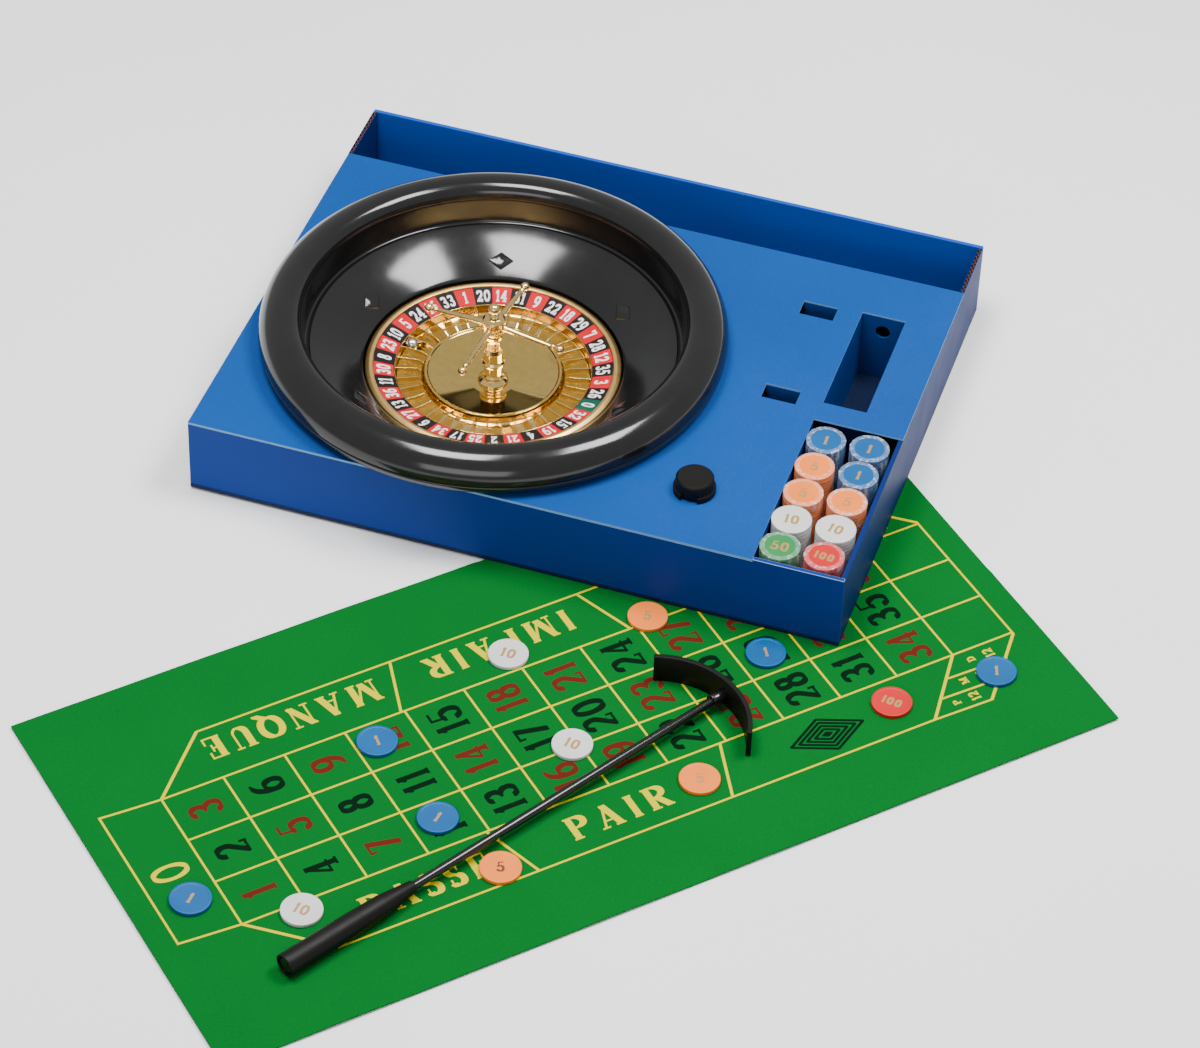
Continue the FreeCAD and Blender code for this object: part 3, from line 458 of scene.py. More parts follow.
# A character is its width for a height of 1, and its strokes in a unit box: B is a broad
# stroke, F a fine one.
P_STROKES = [("B", [(0.22, 0), (0.22, 1)]), ("F", [(0, 0), (0.46, 0)]), ("F", [(0, 1), (0.5, 1)]),
             ("B", [(0.5, 1)] + bow(0.5, 0.75, 0.5, 0.25, 90, -90) + [(0.3, 0.5)])]
SIX = [("B", bow(0.5, 0.3, 0.5, 0.3, 0, 360, 20)), ("B", bow(0.85, 0.38, 0.85, 0.62, 95, 180, 8))]
CHARACTERS = {
    "0": (0.62, [("B", bow(0.5, 0.5, 0.5, 0.5, 0, 360, 24))]),
    "1": (0.36, [("B", [(0.6, 0), (0.6, 1)]), ("F", [(0.6, 1), (0, 0.8)]), ("F", [(0.1, 0), (1, 0)])]),
    "2": (0.60, [("B", bow(0.5, 0.71, 0.48, 0.29, 165, -35) + [(0.04, 0.04)]),
                 ("F", [(0, 0.02), (1, 0.02)]), ("F", [(1, 0), (1, 0.16)])]),
    "3": (0.58, [("B", bow(0.44, 0.76, 0.44, 0.24, 150, -90) + bow(0.48, 0.26, 0.52, 0.26, 90, -155))]),
    "4": (0.62, [("F", [(0.74, 1), (0, 0.28)]), ("F", [(0, 0.28), (1, 0.28)]),
                 ("B", [(0.74, 0), (0.74, 1)]), ("F", [(0.5, 0), (0.98, 0)])]),
    "5": (0.58, [("F", [(0.2, 1), (0.94, 1)]), ("F", [(0.2, 1), (0.14, 0.55)]),
                 ("B", bow(0.46, 0.32, 0.54, 0.32, 135, -155))]),
    "6": (0.60, SIX),
    "7": (0.56, [("F", [(0, 1), (1, 1)]), ("F", [(0, 1), (0, 0.84)]), ("B", [(1, 1), (0.36, 0)])]),
    "8": (0.58, [("B", bow(0.5, 0.76, 0.42, 0.24, 0, 360, 18)),
                 ("B", bow(0.5, 0.27, 0.5, 0.27, 0, 360, 20))]),
    "9": (0.60, [(pen, [(1 - x, 1 - y) for x, y in path]) for pen, path in SIX]),
    "A": (0.98, [("F", [(0.12, 0), (0.5, 1)]), ("B", [(0.5, 1), (0.84, 0)]),
                 ("F", [(0.24, 0.3), (0.72, 0.3)]), ("F", [(0, 0), (0.28, 0)]),
                 ("F", [(0.64, 0), (1, 0)])]),
    "D": (0.86, [("B", [(0.2, 0), (0.2, 1)]), ("F", [(0, 0), (0.45, 0)]), ("F", [(0, 1), (0.45, 1)]),
                 ("B", bow(0.45, 0.5, 0.55, 0.5, 90, -90))]),
    "E": (0.78, [("B", [(0.2, 0), (0.2, 1)]), ("F", [(0, 0), (1, 0)]), ("F", [(0, 1), (0.94, 1)]),
                 ("F", [(0.2, 0.52), (0.66, 0.52)]), ("F", [(1, 0), (1, 0.28)]),
                 ("F", [(0.94, 1), (0.94, 0.74)]), ("F", [(0.66, 0.38), (0.66, 0.66)])]),
    "I": (0.44, [("B", [(0.5, 0), (0.5, 1)]), ("F", [(0, 0), (1, 0)]), ("F", [(0, 1), (1, 1)])]),
    "M": (1.18, [("F", [(0.1, 0), (0.1, 1)]), ("B", [(0.13, 1), (0.49, 0.04)]),
                 ("F", [(0.49, 0.04), (0.84, 1)]), ("B", [(0.87, 0), (0.87, 1)]),
                 ("F", [(0, 0), (0.22, 0)]), ("F", [(0, 1), (0.16, 1)]),
                 ("F", [(0.72, 0), (1, 0)]), ("F", [(0.84, 1), (1, 1)])]),
    "N": (0.98, [("F", [(0.13, 0), (0.13, 1)]), ("B", [(0.15, 1), (0.84, 0.02)]),
                 ("F", [(0.87, 0), (0.87, 1)]), ("F", [(0, 0), (0.28, 0)]), ("F", [(0, 1), (0.2, 1)]),
                 ("F", [(0.72, 1), (1, 1)])]),
    "P": (0.80, P_STROKES),
    "Q": (0.92, [("B", bow(0.5, 0.5, 0.5, 0.5, 0, 360, 24)), ("B", [(0.55, 0.06), (0.98, -0.2)])]),
    "R": (0.94, [(pen, [(x * 0.82, y) for x, y in path]) for pen, path in P_STROKES]
          + [("B", [(0.46, 0.5), (0.84, 0)]), ("F", [(0.7, 0), (1, 0)])]),
    "S": (0.64, [("B", bow(0.48, 0.755, 0.44, 0.245, 40, 265) + bow(0.5, 0.26, 0.5, 0.26, 75, -145)),
                 ("F", [(0.88, 0.98), (0.88, 0.72)]), ("F", [(0.05, 0.02), (0.05, 0.3)])]),
    "U": (0.92, [("B", [(0.2, 1), (0.2, 0.3)] + bow(0.52, 0.3, 0.32, 0.3, 180, 270)),
                 ("F", bow(0.52, 0.3, 0.33, 0.3, 270, 360) + [(0.85, 1)]),
                 ("F", [(0, 1), (0.4, 1)]), ("F", [(0.7, 1), (1, 1)])]),
}


def pen_shapes(path, half_wide, half_high):
    """The convex shapes that a flat pen covers along a path."""
    corners = [(-half_wide, -half_high), (half_wide, -half_high), (half_wide, half_high),
               (-half_wide, half_high)]
    shapes = []
    for (x1, y1), (x2, y2) in zip(path, path[1:]):
        cloud = [(x1 + dx, y1 + dy) for dx, dy in corners] + [(x2 + dx, y2 + dy) for dx, dy in corners]
        shapes.append([cloud[i] for i in geometry.convex_hull_2d([Vector(p) for p in cloud])])
    return shapes


def written(text, height, broad, fine, squeeze=1.0, gap=0.12):
    """Convex shapes of a text, centred on its own middle; broad and fine are pen widths."""
    widths = [CHARACTERS[letter][0] * height * squeeze for letter in text]
    left = -(sum(widths) + gap * height * (len(text) - 1)) / 2
    shapes = []
    for letter, width in zip(text, widths):
        for pen, path in CHARACTERS[letter][1]:
            half_wide = (broad if pen == "B" else fine) / 2
            half_high = fine / 2
            placed = [(left + broad / 2 + x * (width - broad),
                       -height / 2 + fine / 2 + y * (height - fine)) for x, y in path]
            shapes += pen_shapes(placed, half_wide, half_high)
        left += width + gap * height
    return shapes


def merged(groups, loose_points=(), loose_edges=()):
    """Triangulates overlapping shapes without overlap. groups is a list of lists of shapes.
    Returns points, triangles and each triangle's group, or -1 outside all shapes."""
    points = [Vector(p) for p in loose_points]
    faces = []
    owners = []
    for number, shapes in enumerate(groups):
        for shape in shapes:
            faces.append(list(range(len(points), len(points) + len(shape))))
            points.extend(Vector(p) for p in shape)
            owners.append(number)
    result = geometry.delaunay_2d_cdt(points, list(loose_edges), faces, 1, 1e-4)
    places, triangles, sources = result[0], result[2], result[5]
    group_of = [max((owners[i] for i in found), default=-1) for found in sources]
    return places, triangles, group_of


def printed(name, shapes, lift, place, body, paint, thick=0.03):
    """A thin raised print: lift maps a flat place to a point and an upward direction."""
    places, triangles, group_of = merged([shapes])
    kept = [t for t, group in zip(triangles, group_of) if group >= 0]
    sides = {edge for t in kept for edge in zip(t, t[1:] + t[:1])}
    edges = sorted((a, b) for a, b in sides if (b, a) not in sides)
    count = len(places)
    lifted = [lift(*spot) for spot in places]
    points = [at + up * thick for at, up in lifted] + [at - up * thick for at, up in lifted]
    faces = [list(t) for t in kept]
    faces += [[count + i for i in reversed(t)] for t in kept]
    faces += [[b, a, count + a, count + b] for a, b in edges]
    shape = Shape()
    shape.add(points, faces)
    return shape.finish(name, place, [paint], body)


# ---------------------------------------------------------------- cloth

LINE = 1.15
ROW_FRONT, ROW_STEP = 77.5, 30.8
COLUMN_LEFT, COLUMN_STEP = 46.0, 33.6
ROW_BACK = ROW_FRONT + 3 * ROW_STEP
COLUMN_RIGHT = COLUMN_LEFT + 12 * COLUMN_STEP
LAYOUT_END = 485.5
MIDDLE = (ROW_FRONT + ROW_BACK) / 2
RED_NUMBERS = {1, 3, 5, 7, 9, 12, 14, 16, 18, 19, 21, 23, 25, 27, 30, 32, 34, 36}


def line(*points):
    """A printed line through points, LINE wide, with square ends."""
    return pen_shapes(list(points), LINE / 2, LINE / 2)


def moved(shapes, x, y, quarter_turns):
    """Turns shapes by quarter turns, anticlockwise, and moves them to x, y."""
    turn = quarter_turns * math.pi / 2
    c, s = round(math.cos(turn)), round(math.sin(turn))
    return [[(x + c * px - s * py, y + s * px + c * py) for px, py in shape] for shape in shapes]


def ring(x, y, across, up, wide):
    """An elliptical printed ring."""
    path = bow(x, y, across, up, 0, 360, 32)
    return pen_shapes(path, wide / 2, wide / 2)


def yellow_print():
    zero_left, zero_front, zero_back = 13.5, 80.0, 172.0
    shapes = line((COLUMN_LEFT, ROW_FRONT), (zero_left, zero_front), (zero_left, zero_back),
                  (COLUMN_LEFT, ROW_BACK))
    for column in range(13):
        x = COLUMN_LEFT + column * COLUMN_STEP
        shapes += line((x, ROW_FRONT), (x, ROW_BACK))
    for row in range(4):
        y = ROW_FRONT + row * ROW_STEP
        shapes += line((COLUMN_LEFT, y), (LAYOUT_END, y))
    shapes += line((LAYOUT_END, ROW_FRONT), (LAYOUT_END, ROW_BACK))
    for side in (1, -1):
        def across(y):
            """A distance out from the layout's middle, on the back (1) or front (-1) side."""
            return MIDDLE + side * y
        grid, far = 1.5 * ROW_STEP, 1.5 * ROW_STEP + 34.5
        shapes += line((COLUMN_LEFT, across(grid)), (81.0, across(far)), (416.5, across(far + 1)),
                       (450.0, across(far + 2)), (LAYOUT_END, across(grid + 1)))
        shapes += line((178.5, across(grid)), (189.5, across(far)))
        shapes += line((311.0, across(grid)), (298.5, across(far)))
        shapes += line((416.5, across(far + 1)), (COLUMN_RIGHT, across(grid)))
        shapes += line((427.5, across(far - 10)), (459.5, across(far - 9)))
        shapes += line((438.5, across(far - 21)), (472.5, across(far - 20)))
        for step, letter in enumerate("PMD"):
            x, y = 438.0 + 11.5 * step, across(far - 4.3 - 11.6 * step)
            shapes += moved(written("12", 5.4, 1.0, 0.6), x + 5.5, y, 1)
            shapes += moved(written(letter, 4.2, 0.9, 0.5), x - 5.0, y, 1)
    shapes += moved(written("MANQUE", 15.2, 3.5, 1.0, 1.0, 0.14), 128.0, 190.5, 2)
    shapes += moved(written("IMPAIR", 15.2, 3.5, 1.0, 1.0, 0.17), 245.0, 190.5, 2)
    shapes += moved(written("PASSE", 15.2, 3.5, 1.0, 1.04, 0.17), 136.0, 59.0, 0)
    shapes += moved(written("PAIR", 15.2, 3.5, 1.0, 1.04, 0.19), 243.0, 59.5, 0)
    shapes += ring(29.5, MIDDLE, 8.8, 4.3, 1.9)
    return shapes


def digits_print(red):
    shapes = []
    for number in range(1, 37):
        if (number in RED_NUMBERS) != red:
            continue
        x = COLUMN_LEFT + COLUMN_STEP * ((number - 1) // 3 + 0.5)
        y = ROW_FRONT + ROW_STEP * ((number - 1) % 3 + 0.5)
        shapes += moved(written(str(number), 17.8, 3.1, 1.4, 0.94, 0.10), x, y, 1)
    return shapes


def diamond_print(side):
    """Four nested rhombus outlines round a small solid one."""
    shapes = []
    x, y = 362.5, MIDDLE + side * 65.5
    for scale in (1.0, 0.78, 0.56, 0.34):
        long, short = 21.0 * scale, 11.4 * scale
        corners = [(x + long, y), (x, y + short), (x - long, y), (x, y - short), (x + long, y)]
        shapes += pen_shapes(corners, 0.55, 0.55)
    long, short = 3.6, 2.0
    shapes.append([(x + long, y), (x, y + short), (x - long, y), (x, y - short)])
    return shapes


def cloth_lift(x, y):
    """How far the cloth stands off the table: nearly flat, with slack waves at its free edges."""
    edge = min(x, CLOTH_LONG - x, y, CLOTH_WIDE - y)
    free = max(0.0, 1 - edge / 26.0) ** 2
    under_tray = 1.0 if x > 260 and y > 120 else 0.0
    wave = 0.5 + 0.5 * noise.noise(Vector((x / 46.0, y / 46.0, 4.2)))
    return 0.0 if under_tray else 1.1 * free * wave


def make_cloth():
    """One printed sheet: its top is cut along every printed edge, so each ink is its own faces."""
    cell = 5.0
    columns, rows = round(CLOTH_LONG / cell), round(CLOTH_WIDE / cell)
    grid = [(i * cell, j * cell) for j in range(rows + 1) for i in range(columns + 1)]
    along = [(j * (columns + 1) + i, j * (columns + 1) + i + 1)
             for j in range(rows + 1) for i in range(columns)]
    across = [(j * (columns + 1) + i, (j + 1) * (columns + 1) + i)
              for j in range(rows) for i in range(columns + 1)]
    groups = [yellow_print(), digits_print(True) + diamond_print(1),
              digits_print(False) + diamond_print(-1)]
    places, triangles, group_of = merged(groups, grid, along + across)
    top = [Vector((p.x, p.y, CLOTH_THICK + cloth_lift(p.x, p.y))) for p in places]
    bottom = [Vector((p.x, p.y, cloth_lift(p.x, p.y))) for p in places]
    sides = {edge for t in triangles for edge in zip(t, t[1:] + t[:1])}
    rim = sorted((a, b) for a, b in sides if (b, a) not in sides)
    count = len(places)
    faces = [list(t) for t in triangles]
    faces += [[count + i for i in reversed(t)] for t in triangles]
    faces += [[b, a, count + a, count + b] for a, b in rim]
    paints = [group + 1 for group in group_of] + [0] * (len(triangles) + len(rim))
    shape = Shape()
    shape.add(top + bottom, faces, paints)
    cloth = shape.finish("printed_cloth", CLOTH, [felt_green, felt_yellow, felt_red, felt_black],
                         "layout", ["layout_cloth"])
    return cloth


make_cloth()


# ---------------------------------------------------------------- tray and insert

BOARD = 2.5
CARD = 1.2
DECK_TOP = 46.0
tray_long = (tray_high.x - tray_low.x) / MM
tray_deep = (tray_high.y - tray_low.y) / MM
insert_low, insert_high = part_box("insert_deck")
insert_deep = (insert_high.y - insert_low.y) / MM


def make_flute(shape, across, start, stop, bottom, top, paint):
    """A corrugated layer running back from start to stop, between two liners."""
    pitch, swing, half = 3.4, 0.62, 0.15
    steps = int((stop - start) / pitch * 10)
    points = []
    for step in range(steps + 1):
        y = start + (stop - start) * step / steps
        x = across + swing * math.cos(2 * math.pi * (y - start) / pitch)
        points += [Vector((x - half, y, bottom)), Vector((x + half, y, bottom)),
                   Vector((x - half, y, top)), Vector((x + half, y, top))]
    faces = [[0, 2, 3, 1], [steps * 4, steps * 4 + 1, steps * 4 + 3, steps * 4 + 2]]
    for step in range(steps):
        a, b = step * 4, step * 4 + 4
        faces += [[a, b, b + 2, a + 2], [a + 1, a + 3, b + 3, b + 1],
                  [a + 2, b + 2, b + 3, a + 3], [a, a + 1, b + 1, b]]
    shape.add(points, faces, paint)


def make_side_wall(side, left, high_runs):
    """A corrugated board wall: two liners over a core, with the flutes open along its high runs."""
    face = 0.4
    low_top = DECK_TOP - CARD
    core_top = low_top - 3
    back = tray_deep - BOARD
    shape = Shape()
    shape.block((left, BOARD, BOARD), (left + BOARD, back, core_top), 0)
    starts = [BOARD] + [stop for start, stop in high_runs]
    stops = [start for start, stop in high_runs] + [back]
    for start, stop in zip(starts, stops):
        if stop - start > 1:
            shape.block((left, start, core_top), (left + BOARD, stop, low_top), 0)
    for start, stop in high_runs:
        for inner in (left, left + BOARD - face):
            shape.block((inner, start, core_top), (inner + face, stop, DECK_TOP), 0)
        make_flute(shape, left + BOARD / 2, start, stop, core_top, DECK_TOP - 0.2, 1)
    shape.finish(f"{side}_wall_board", TRAY, [shaded_side_card, flute], "tray",
                 [f"tray_{side}_wall"], sharp=30)


def make_tray():
    keep_node("tray_floor", shaded_floor_card, 0.3)
    keep_node("tray_front_wall", edge_card, 0.35)
    keep_node("tray_back_wall", back_wall_lit_card, 0.5)
    trough_front = insert_deep + 0.3
    make_side_wall("left", 0.0, [(trough_front, tray_deep - BOARD)])
    make_side_wall("right", tray_long - BOARD, [(trough_front, tray_deep - BOARD)])


def make_insert():
    keep_node("insert_deck", light_card, 0.35)
    keep_node("insert_back_flap", light_card, 0.2)
    keep_node("insert_chip_flap", fold_card, 0.2)
    keep_node("insert_store_sides", fold_card, 0.2)
    keep_node("insert_store_back", fold_card, 0.2)
    keep_node("insert_slot_tabs", fold_card, 0.2)
    keep_node("insert_knob", satin_black, 0.35)


make_tray()
make_insert()


# ---------------------------------------------------------------- wheel

TURN_STEPS = 240


def make_bowl():
    """The moulded bowl: rolled rim, ball track, sloping apron, rotor well and foot ring."""
    rim = arc(110.5, 60.5, 8.0, 190, 96, 18) + arc(111.0, 53.5, 15.0, 88, 4, 26)
    inside = rounded([(3.0, 6.8), (3.0, 12.5), (7.0, 12.5, 0.4), (7.0, 9.0), (70.4, 9.0, 1.0),
                      (70.4, 29.9)])
    inside += arc(147.0, -75.2, 130.1, 126.0, 112.0, 18)
    inside += rounded([(98.5, 45.5), (99.1, 45.1, 0.4), (101.2, 44.6, 2.2), (102.7, 47.4, 1.4)])
    under = rounded([(126.0, 53.2, 2.0), (124.6, 49.2, 2.0), (121.0, 46.4, 0.5), (118.8, 46.4, 0.4),
                     (123.8, 53.5, 2.0)])
    under += arc(111.0, 53.5, 12.8, 10, 90, 14) + arc(110.5, 60.5, 5.8, 92, 186, 12)
    under += rounded([(105.2, 50.0, 1.0), (104.8, 41.2, 1.5), (98.8, 41.2, 2.0), (72.6, 28.5),
                      (72.6, 6.8), (60.0, 6.8), (60.0, 4.5, 0.5), (57.0, 4.5, 0.5), (57.0, 6.8)])
    shape = Shape()
    shape.turn(inside + rim + under, TURN_STEPS)
    shape.finish("bowl_moulding", WHEEL, [bowl_black], "bowl", ["wheel_bowl"])
    keep_node("ball_deflectors", bowl_black, 0.35)
    keep_node("foot_pads", rubber, 0.3)
    keep_node("spindle_pin", steel)
    keep_node("spindle_screw", steel, 0.2)
    keep_node("spindle_washer", nylon, 0.2)


POCKETS = 37
POCKET_ANGLE = 2 * math.pi / POCKETS
ZERO_AT = math.radians(347.9)
WHEEL_ORDER = [0, 32, 15, 19, 4, 21, 2, 25, 17, 34, 6, 27, 13, 36, 11, 30, 8, 23, 10, 5, 24, 16, 33,
               1, 20, 14, 31, 9, 22, 18, 29, 7, 28, 12, 35, 3, 26]
CELL_INNER, CELL_OUTER = (53.8, 26.0), (64.6, 28.7)


def make_number_ring():
    """A shallow cone of 37 printed cells, numbered clockwise from zero."""
    parts = 6
    shape = Shape()

    def paint_of(step):
        cell = step // parts
        return 2 if cell == 0 else cell % 2

    turned = Matrix.Rotation(ZERO_AT + POCKET_ANGLE / 2, 4, "Z") @ Matrix.Scale(-1, 4, (0, 1, 0))
    shape.turn([(53.8, 25.4), (64.6, 28.1), CELL_OUTER, CELL_INNER], POCKETS * parts,
               at=turned, paint_of_step=paint_of)
    shape.finish("number_cells", WHEEL, [black_cell, red_cell, green_cell], "rotor",
                 ["number_ring"], sharp=20)
    slope = (CELL_OUTER[1] - CELL_INNER[1]) / (CELL_OUTER[0] - CELL_INNER[0])
    middle = (CELL_OUTER[0] + CELL_INNER[0]) / 2

    def lift(x, y):
        """Flat text to the cone: x runs clockwise in millimetres, y outward."""
        radius = middle + y
        angle = ZERO_AT - x / middle
        at = Vector((radius * math.cos(angle), radius * math.sin(angle),
                     CELL_INNER[1] + slope * (radius - CELL_INNER[0])))
        return at, Vector((-slope * math.cos(angle), -slope * math.sin(angle), 1)).normalized()

    shapes = []
    for cell, number in enumerate(WHEEL_ORDER):
        text = written(str(number), 7.6, 0.95, 0.95, 0.72, 0.10)
        shapes += [[(x + cell * POCKET_ANGLE * middle, y) for x, y in part] for part in text]
    printed("cell_numbers", shapes, lift, WHEEL, "rotor", white_print)


def make_rotor():
    shape = Shape()
    shape.turn(rounded([(4.6, 13.6), (66.0, 13.6, 0.5), (68.6, 16.2, 0.5), (68.6, 27.0), (64.6, 27.0),
                        (64.6, 28.0), (53.8, 25.3), (53.4, 26.2, 0.2), (53.0, 25.8, 0.2),
                        (52.6, 20.0, 1.2), (38.4, 20.0, 1.2), (37.4, 23.0), (37.4, 16.2),
                        (8.0, 16.2), (8.0, 18.0), (4.6, 18.0)]), TURN_STEPS)
    shape.finish("rotor_moulding", WHEEL, [gold], "rotor", ["rotor_plate"])
    trim = Shape()
    trim.turn(rounded([(64.7, 27.0), (69.2, 27.0, 0.3), (69.2, 28.6, 1.6), (66.8, 30.0, 1.4),
                       (64.9, 29.6, 0.7)]), TURN_STEPS)
    trim.finish("outer_trim", WHEEL, [trim_gold], "rotor", ["ring_trim"])
    dish = Shape()
    dish.turn(rounded([(8.2, 17.0), (12.0, 17.0), (37.2, 23.8), (37.4, 24.9, 0.4), (35.9, 25.0, 0.5),
                       (35.2, 24.0, 1.2), (12.0, 18.0, 3.0), (8.2, 18.0)]), TURN_STEPS)
    dish.finish("dish_moulding", WHEEL, [dish_gold], "rotor", ["centre_dish"])
    keep_node("pocket_frets", gold, 0.18)
    keep_node("bearing_bush", brass)


def make_turret():
    parts = [
        ("turret_foot", "turret_base",
         [(4.2, 18.0), (8.4, 18.0, 0.4), (8.2, 19.2, 0.4), (5.9, 21.4, 2.0), (6.2, 22.6, 0.6),
          (5.2, 23.8, 0.5), (5.1, 30.0), (4.2, 30.0)]),
        ("turret_stem", "turret_column",
         [(4.2, 30.0), (6.4, 30.0, 0.3), (6.4, 31.6, 0.4), (5.3, 33.0, 1.0), (5.1, 38.5, 2.0),
          (4.2, 41.0, 2.0), (3.4, 46.0, 2.0), (4.8, 48.4, 0.6), (4.8, 50.0), (0, 50.0), (0, 39.0),
          (4.2, 39.0)]),
        ("turret_head", "turret_crown",
         [(0, 50.0), (4.0, 50.0), (6.4, 53.0, 2.0), (6.3, 61.0, 1.0), (4.6, 63.0, 0.8), (0, 63.0)]),
        ("turret_knob", "turret_finial",
         [(0, 63.0), (2.9, 63.0, 0.3), (1.7, 64.4, 0.4)] + arc(0, 67.7, 3.3, -52, 90, 12)),
    ]
    for name, node, outline in parts:
        shape = Shape()
        shape.turn(rounded(outline, 6), 72)
        shape.finish(name, WHEEL, [gold], "rotor", [node], sharp=50)
    arms = Shape()
    tips = Shape()
    root, reach = Vector((5.9, 0, 56.7)), Vector((36.3, 0, 54.5))
    lean = (reach - root).to_track_quat("Z", "Y").to_matrix().to_4x4()
    length = (reach - root).length
    for index in range(4):
        spin = Matrix.Rotation(math.radians(353.5 + 90 * index), 4, "Z")
        at = spin @ Matrix.Translation(root) @ lean
        arms.turn(rounded([(0, 0), (2.0, 0, 0.4), (1.7, 2.2, 0.8), (1.15, length - 2.6, 2.0),
                           (1.7, length - 1.6, 0.4), (1.2, length - 0.4, 0.3), (0, length - 0.4)]),
                  32, at=at)
        tips.turn(rounded([(0, length), (1.2, length, 0.3)] + arc(0, length + 2.5, 2.5, -60, 90, 10)),
                  40, at=at)
    arms.finish("arm_rods", WHEEL, [gold], "rotor", ["turret_arms"], sharp=50)
    tips.finish("arm_balls", WHEEL, [gold], "rotor", ["turret_arm_tips"], sharp=50)


def make_ball():
    ball_low, ball_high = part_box("ball")
    middle = (ball_low + ball_high) / 2
    radius = (ball_high.x - ball_low.x) / 2 / MM
    shape = Shape()
    shape.turn(arc(0, 0, radius, -90, 90, 40), 80)
    shape.finish("steel_ball", Matrix.Translation(middle), [chrome], "roulette_ball",
                 ["ball"])


make_bowl()
make_number_ring()
make_rotor()
make_turret()
make_ball()


# ---------------------------------------------------------------- chips

CHIP_RADIUS = 10.5
CHIP_THICK = 2.2
VALUES = {"blue": "1", "orange": "5", "white": "10", "green": "50", "red": "100"}


def chip_outline(bottom):
    """One chip: rounded edge, and a shallow recess inside a raised border on both faces."""
    top = bottom + CHIP_THICK
    return rounded([(0, bottom + 0.12), (8.9, bottom + 0.12, 0.1), (9.2, bottom, 0.1),
                    (CHIP_RADIUS, bottom, 0.35), (CHIP_RADIUS, top, 0.35), (9.2, top, 0.1),
                    (8.9, top - 0.12, 0.1), (0, top - 0.12)], 3)


def chip_value(name, colour, place, top, spin, body, paint):
    """The printed value on a chip's top face."""
    text = VALUES[colour]
    height = 6.6 if len(text) < 3 else 5.4
    shapes = written(text, height, 1.3, 0.7, 1.05, 0.14)
    turn = Matrix.Rotation(spin, 4, "Z")

    def lift(x, y):
        return turn @ Vector((x, y, top)), Vector((0, 0, 1))

    printed(name, shapes, lift, place, body, paint, 0.04)


def node_middle(node):
    low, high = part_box(node)
    return Vector(((low.x + high.x) / 2, (low.y + high.y) / 2, low.z)), (high.z - low.z) / MM


def make_loose_chips():
    dice = random.Random(7)
    for node in sorted(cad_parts):
        if not node.startswith("loose_chip"):
            continue
        colour = node.split("_")[-1]
        middle, _ = node_middle(node)
        place = Matrix.Translation(middle)
        number = node.split("_")[2]
        shape = Shape()
        shape.turn(chip_outline(0), 96)
        shape.finish(f"chip_{number}_disc", place, [chip_paint[colour]], node,
                     [node])
        paint = dark_foil_print if number == "10" else foil_print
        chip_value(f"chip_{number}_value", colour, place, CHIP_THICK - 0.12,
                   dice.uniform(-0.2, 1.1), node, paint)


def make_film(node, place, high):
    """Shrink film round a stack: gathered at the shoulder, creased down the side."""
    steps, rows = 120, 26
    shape = Shape()
    points = []
    faces = []
    for row in range(rows + 1):
        share = row / rows
        shoulder = max(0.0, (share - 0.8) / 0.2)
        radius = CHIP_RADIUS + 0.09 if shoulder == 0 else (CHIP_RADIUS + 0.09) * (1 - 0.24 * shoulder ** 2)
        height = 0.3 + (high - 0.2) * min(1.0, share / 0.8) + 0.25 * math.sin(shoulder * math.pi / 2)
        for step in range(steps):
            angle = 2 * math.pi * step / steps
            pleat = noise.noise(Vector((math.cos(angle) * 9, math.sin(angle) * 9, share * 2.2)))
            swell = radius + 0.07 * pleat - 0.35 * shoulder * abs(pleat)
            points.append(Vector((swell * math.cos(angle), swell * math.sin(angle),
                                  height + 0.35 * shoulder * pleat * (1 - shoulder * 0.5))))
    for row in range(rows):
        for step in range(steps):
            following = (step + 1) % steps
            faces.append([row * steps + step, row * steps + following,
                          (row + 1) * steps + following, (row + 1) * steps + step])
    shape.add(points, faces)
    piece = shape.finish(f"{node}_film", place, [film], node)
    solid = piece.modifiers.new("thickness", "SOLIDIFY")
    solid.thickness = 0.03 * MM
    return piece


def make_stacks():
    dice = random.Random(21)
    for node in sorted(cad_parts):
        if not node.startswith("stack_"):
            continue
        colour = node.split("_")[-1]
        middle, high = node_middle(node)
        place = Matrix.Translation(middle)
        shape = Shape()
        for index in range(round(high / CHIP_THICK)):
            slide = Matrix.Translation((dice.uniform(-0.06, 0.06), dice.uniform(-0.06, 0.06), 0))
            shape.turn(chip_outline(index * CHIP_THICK), 72, at=slide)
        shape.finish(f"{node}_chips", place, [chip_paint[colour]], node, [node])
        chip_value(f"{node}_value", colour, place, high - 0.12, dice.uniform(-0.15, 0.1), node,
                   foil_print)
        make_film(node, place, high)


make_loose_chips()
make_stacks()


# ---------------------------------------------------------------- rake

def rake_place():
    """The rake's axis: its start on the cloth, its direction and its height."""
    start = CLOTH @ (TO_METRES @ Vector((50.0, 39.0, CLOTH_THICK + 6.4)))
    turn = CLOTH_TURN + math.radians(12.7)
    return Matrix.Translation(start) @ Matrix.Rotation(turn, 4, "Z") @ Matrix.Rotation(math.pi / 2, 4, "Y")


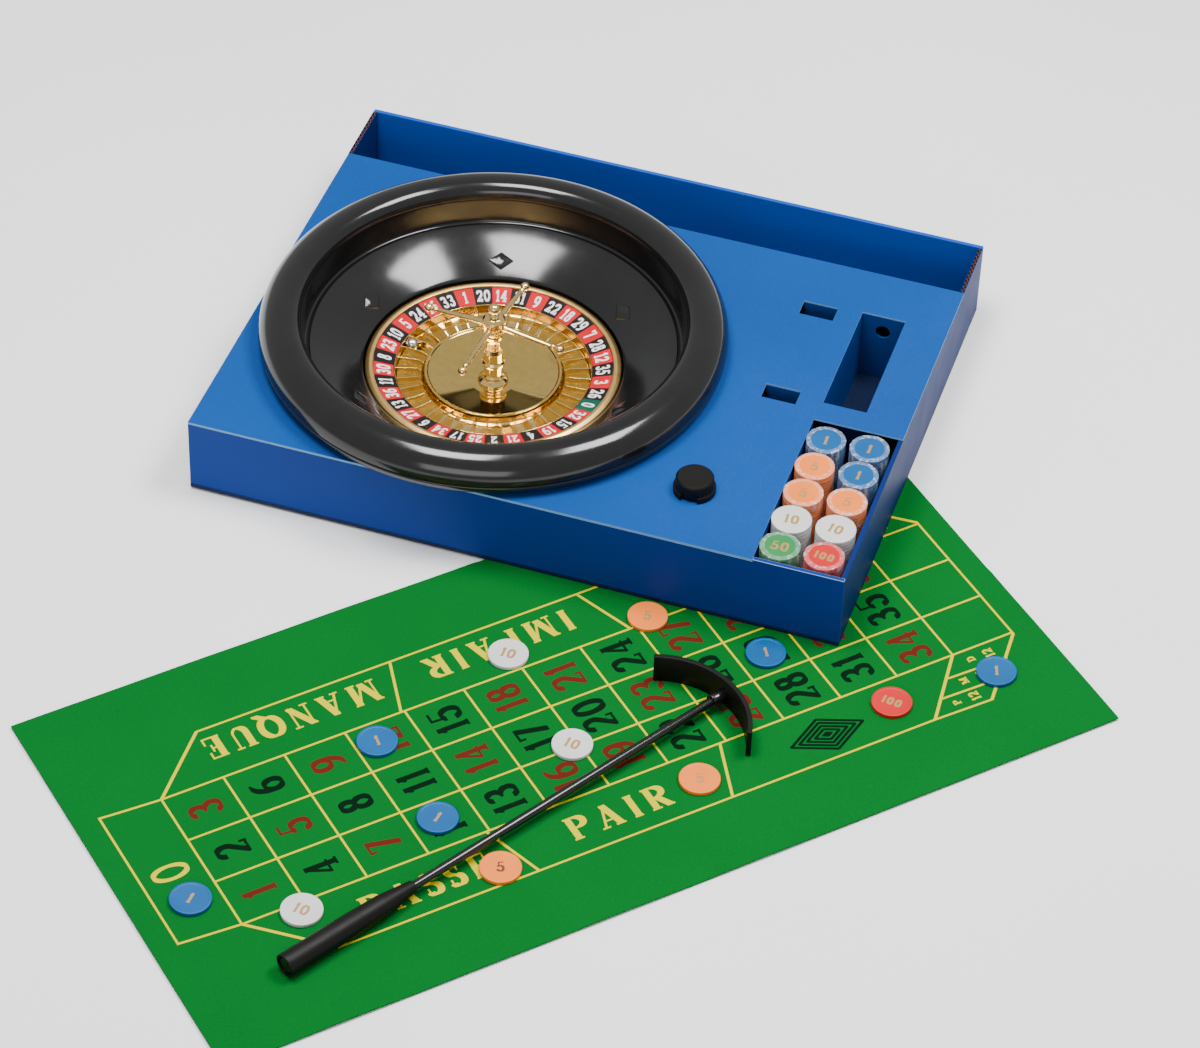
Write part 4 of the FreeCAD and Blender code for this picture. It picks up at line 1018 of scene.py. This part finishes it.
def make_rake():
    place = rake_place()
    handle = Shape()
    handle.turn(rounded([(4.9, 0.2, 0.3), (6.1, 0.0, 0.5), (6.2, 3.0, 1.0), (6.0, 40.0, 30.0),
                         (5.6, 60.0, 14.0), (3.3, 79.4, 1.5), (2.5, 80.0, 0.4), (2.5, 22.0),
                         (4.6, 20.0), (4.8, 1.6)]), 72)
    handle.finish("handle_grip", place, [satin_black], "rake", ["rake_handle"], sharp=50)
    cap = Shape()
    cap.turn(rounded([(0, 2.6), (4.6, 2.6), (4.6, 1.2, 0.5), (3.6, 0.7, 0.5), (2.2, 1.0, 0.8),
                      (1.0, 0.6, 0.5), (0, 0.5)]), 48)
    cap.finish("handle_end", place, [rod_black], "rake", ["rake_end_cap"], sharp=50)
    rod = Shape()
    rod.turn(rounded([(0, 22.2), (2.4, 22.2, 0.3), (2.4, 282.4, 0.5), (0, 283.0)]), 48)
    rod.finish("long_rod", place, [rod_black], "rake", ["rake_rod"], sharp=50)
    keep_node("rake_socket", rod_black, 0.4)
    keep_node("rake_blade", satin_black, 0.45)


make_rake()


# ---------------------------------------------------------------- stage, light and camera

def make_stage():
    mesh = bpy.data.meshes.new("floor")
    work = bmesh.new()
    bmesh.ops.create_grid(work, x_segments=2, y_segments=2, size=6.0)
    work.to_mesh(mesh)
    work.free()
    floor = bpy.data.objects.new("floor", mesh)
    floor.location = (0, 0, cad_low.z - 0.0004)
    bpy.context.scene.collection.objects.link(floor)
    paint = Paint("pale_floor", 0.8, specular=0.1)
    paint.colour(paint.grade(paint.spots(3, 2), [(0.3, (0.86, 0.86, 0.86)), (0.7, (0.9, 0.9, 0.9))]))
    mesh.materials.append(paint.material)


def outward(azimuth, elevation):
    """The direction at these degrees round and above the set; azimuth 0 is in front of the tray."""
    a, e = math.radians(azimuth), math.radians(elevation)
    return Vector((math.sin(a) * math.cos(e), -math.cos(a) * math.cos(e), math.sin(e)))


def add_softbox(name, azimuth, elevation, distance, wide, high, power, target):
    """A rectangular soft light, aimed at target."""
    lamp = bpy.data.lights.new(name, "AREA")
    lamp.shape = "RECTANGLE"
    lamp.size = wide
    lamp.size_y = high
    lamp.energy = power
    holder = bpy.data.objects.new(name, lamp)
    back = outward(azimuth, elevation)
    holder.location = target + back * distance
    holder.rotation_mode = "QUATERNION"
    holder.rotation_quaternion = (-back).to_track_quat("-Z", "Y")
    bpy.context.scene.collection.objects.link(holder)


def make_light():
    centre = (cad_low + cad_high) / 2
    add_softbox("left_softbox", -80, 79, 1.6, 0.62, 0.50, 28, centre)
    add_softbox("right_softbox", 124, 66, 1.6, 0.62, 0.50, 28, centre)
    add_softbox("front_fill", 5, 24, 2.6, 1.8, 0.9, 16, centre)
    world = bpy.data.worlds.new("studio")
    world.use_nodes = True
    background = world.node_tree.nodes["Background"]
    background.inputs["Color"].default_value = (0.97, 0.98, 1.0, 1)
    background.inputs["Strength"].default_value = 0.6
    bpy.context.scene.world = world


CAMERA_AZIMUTH = 16.51
CAMERA_ELEVATION = 43.02
CAMERA_ROLL = 2.25
CAMERA_DISTANCE = 2.3394
CAMERA_TARGET = Vector((-0.0305, 0.0878, 0.0))
CAMERA_LENS = 132.7


def make_camera():
    """A long lens, 43 degrees above the table, 16.5 degrees round to the right, a little rolled."""
    camera = bpy.data.cameras.new("camera")
    camera.lens = CAMERA_LENS
    camera.sensor_width = 36
    camera.clip_end = 20
    back = outward(CAMERA_AZIMUTH, CAMERA_ELEVATION)
    level = Vector((0, 0, 1)).cross(back).normalized()
    right = Matrix.Rotation(math.radians(CAMERA_ROLL), 3, back) @ level
    holder = bpy.data.objects.new("camera", camera)
    holder.location = CAMERA_TARGET + back * CAMERA_DISTANCE
    holder.rotation_mode = "QUATERNION"
    holder.rotation_quaternion = Matrix((right, back.cross(right), back)).transposed().to_quaternion()
    bpy.context.scene.collection.objects.link(holder)
    bpy.context.scene.camera = holder


make_stage()
make_light()
make_camera()
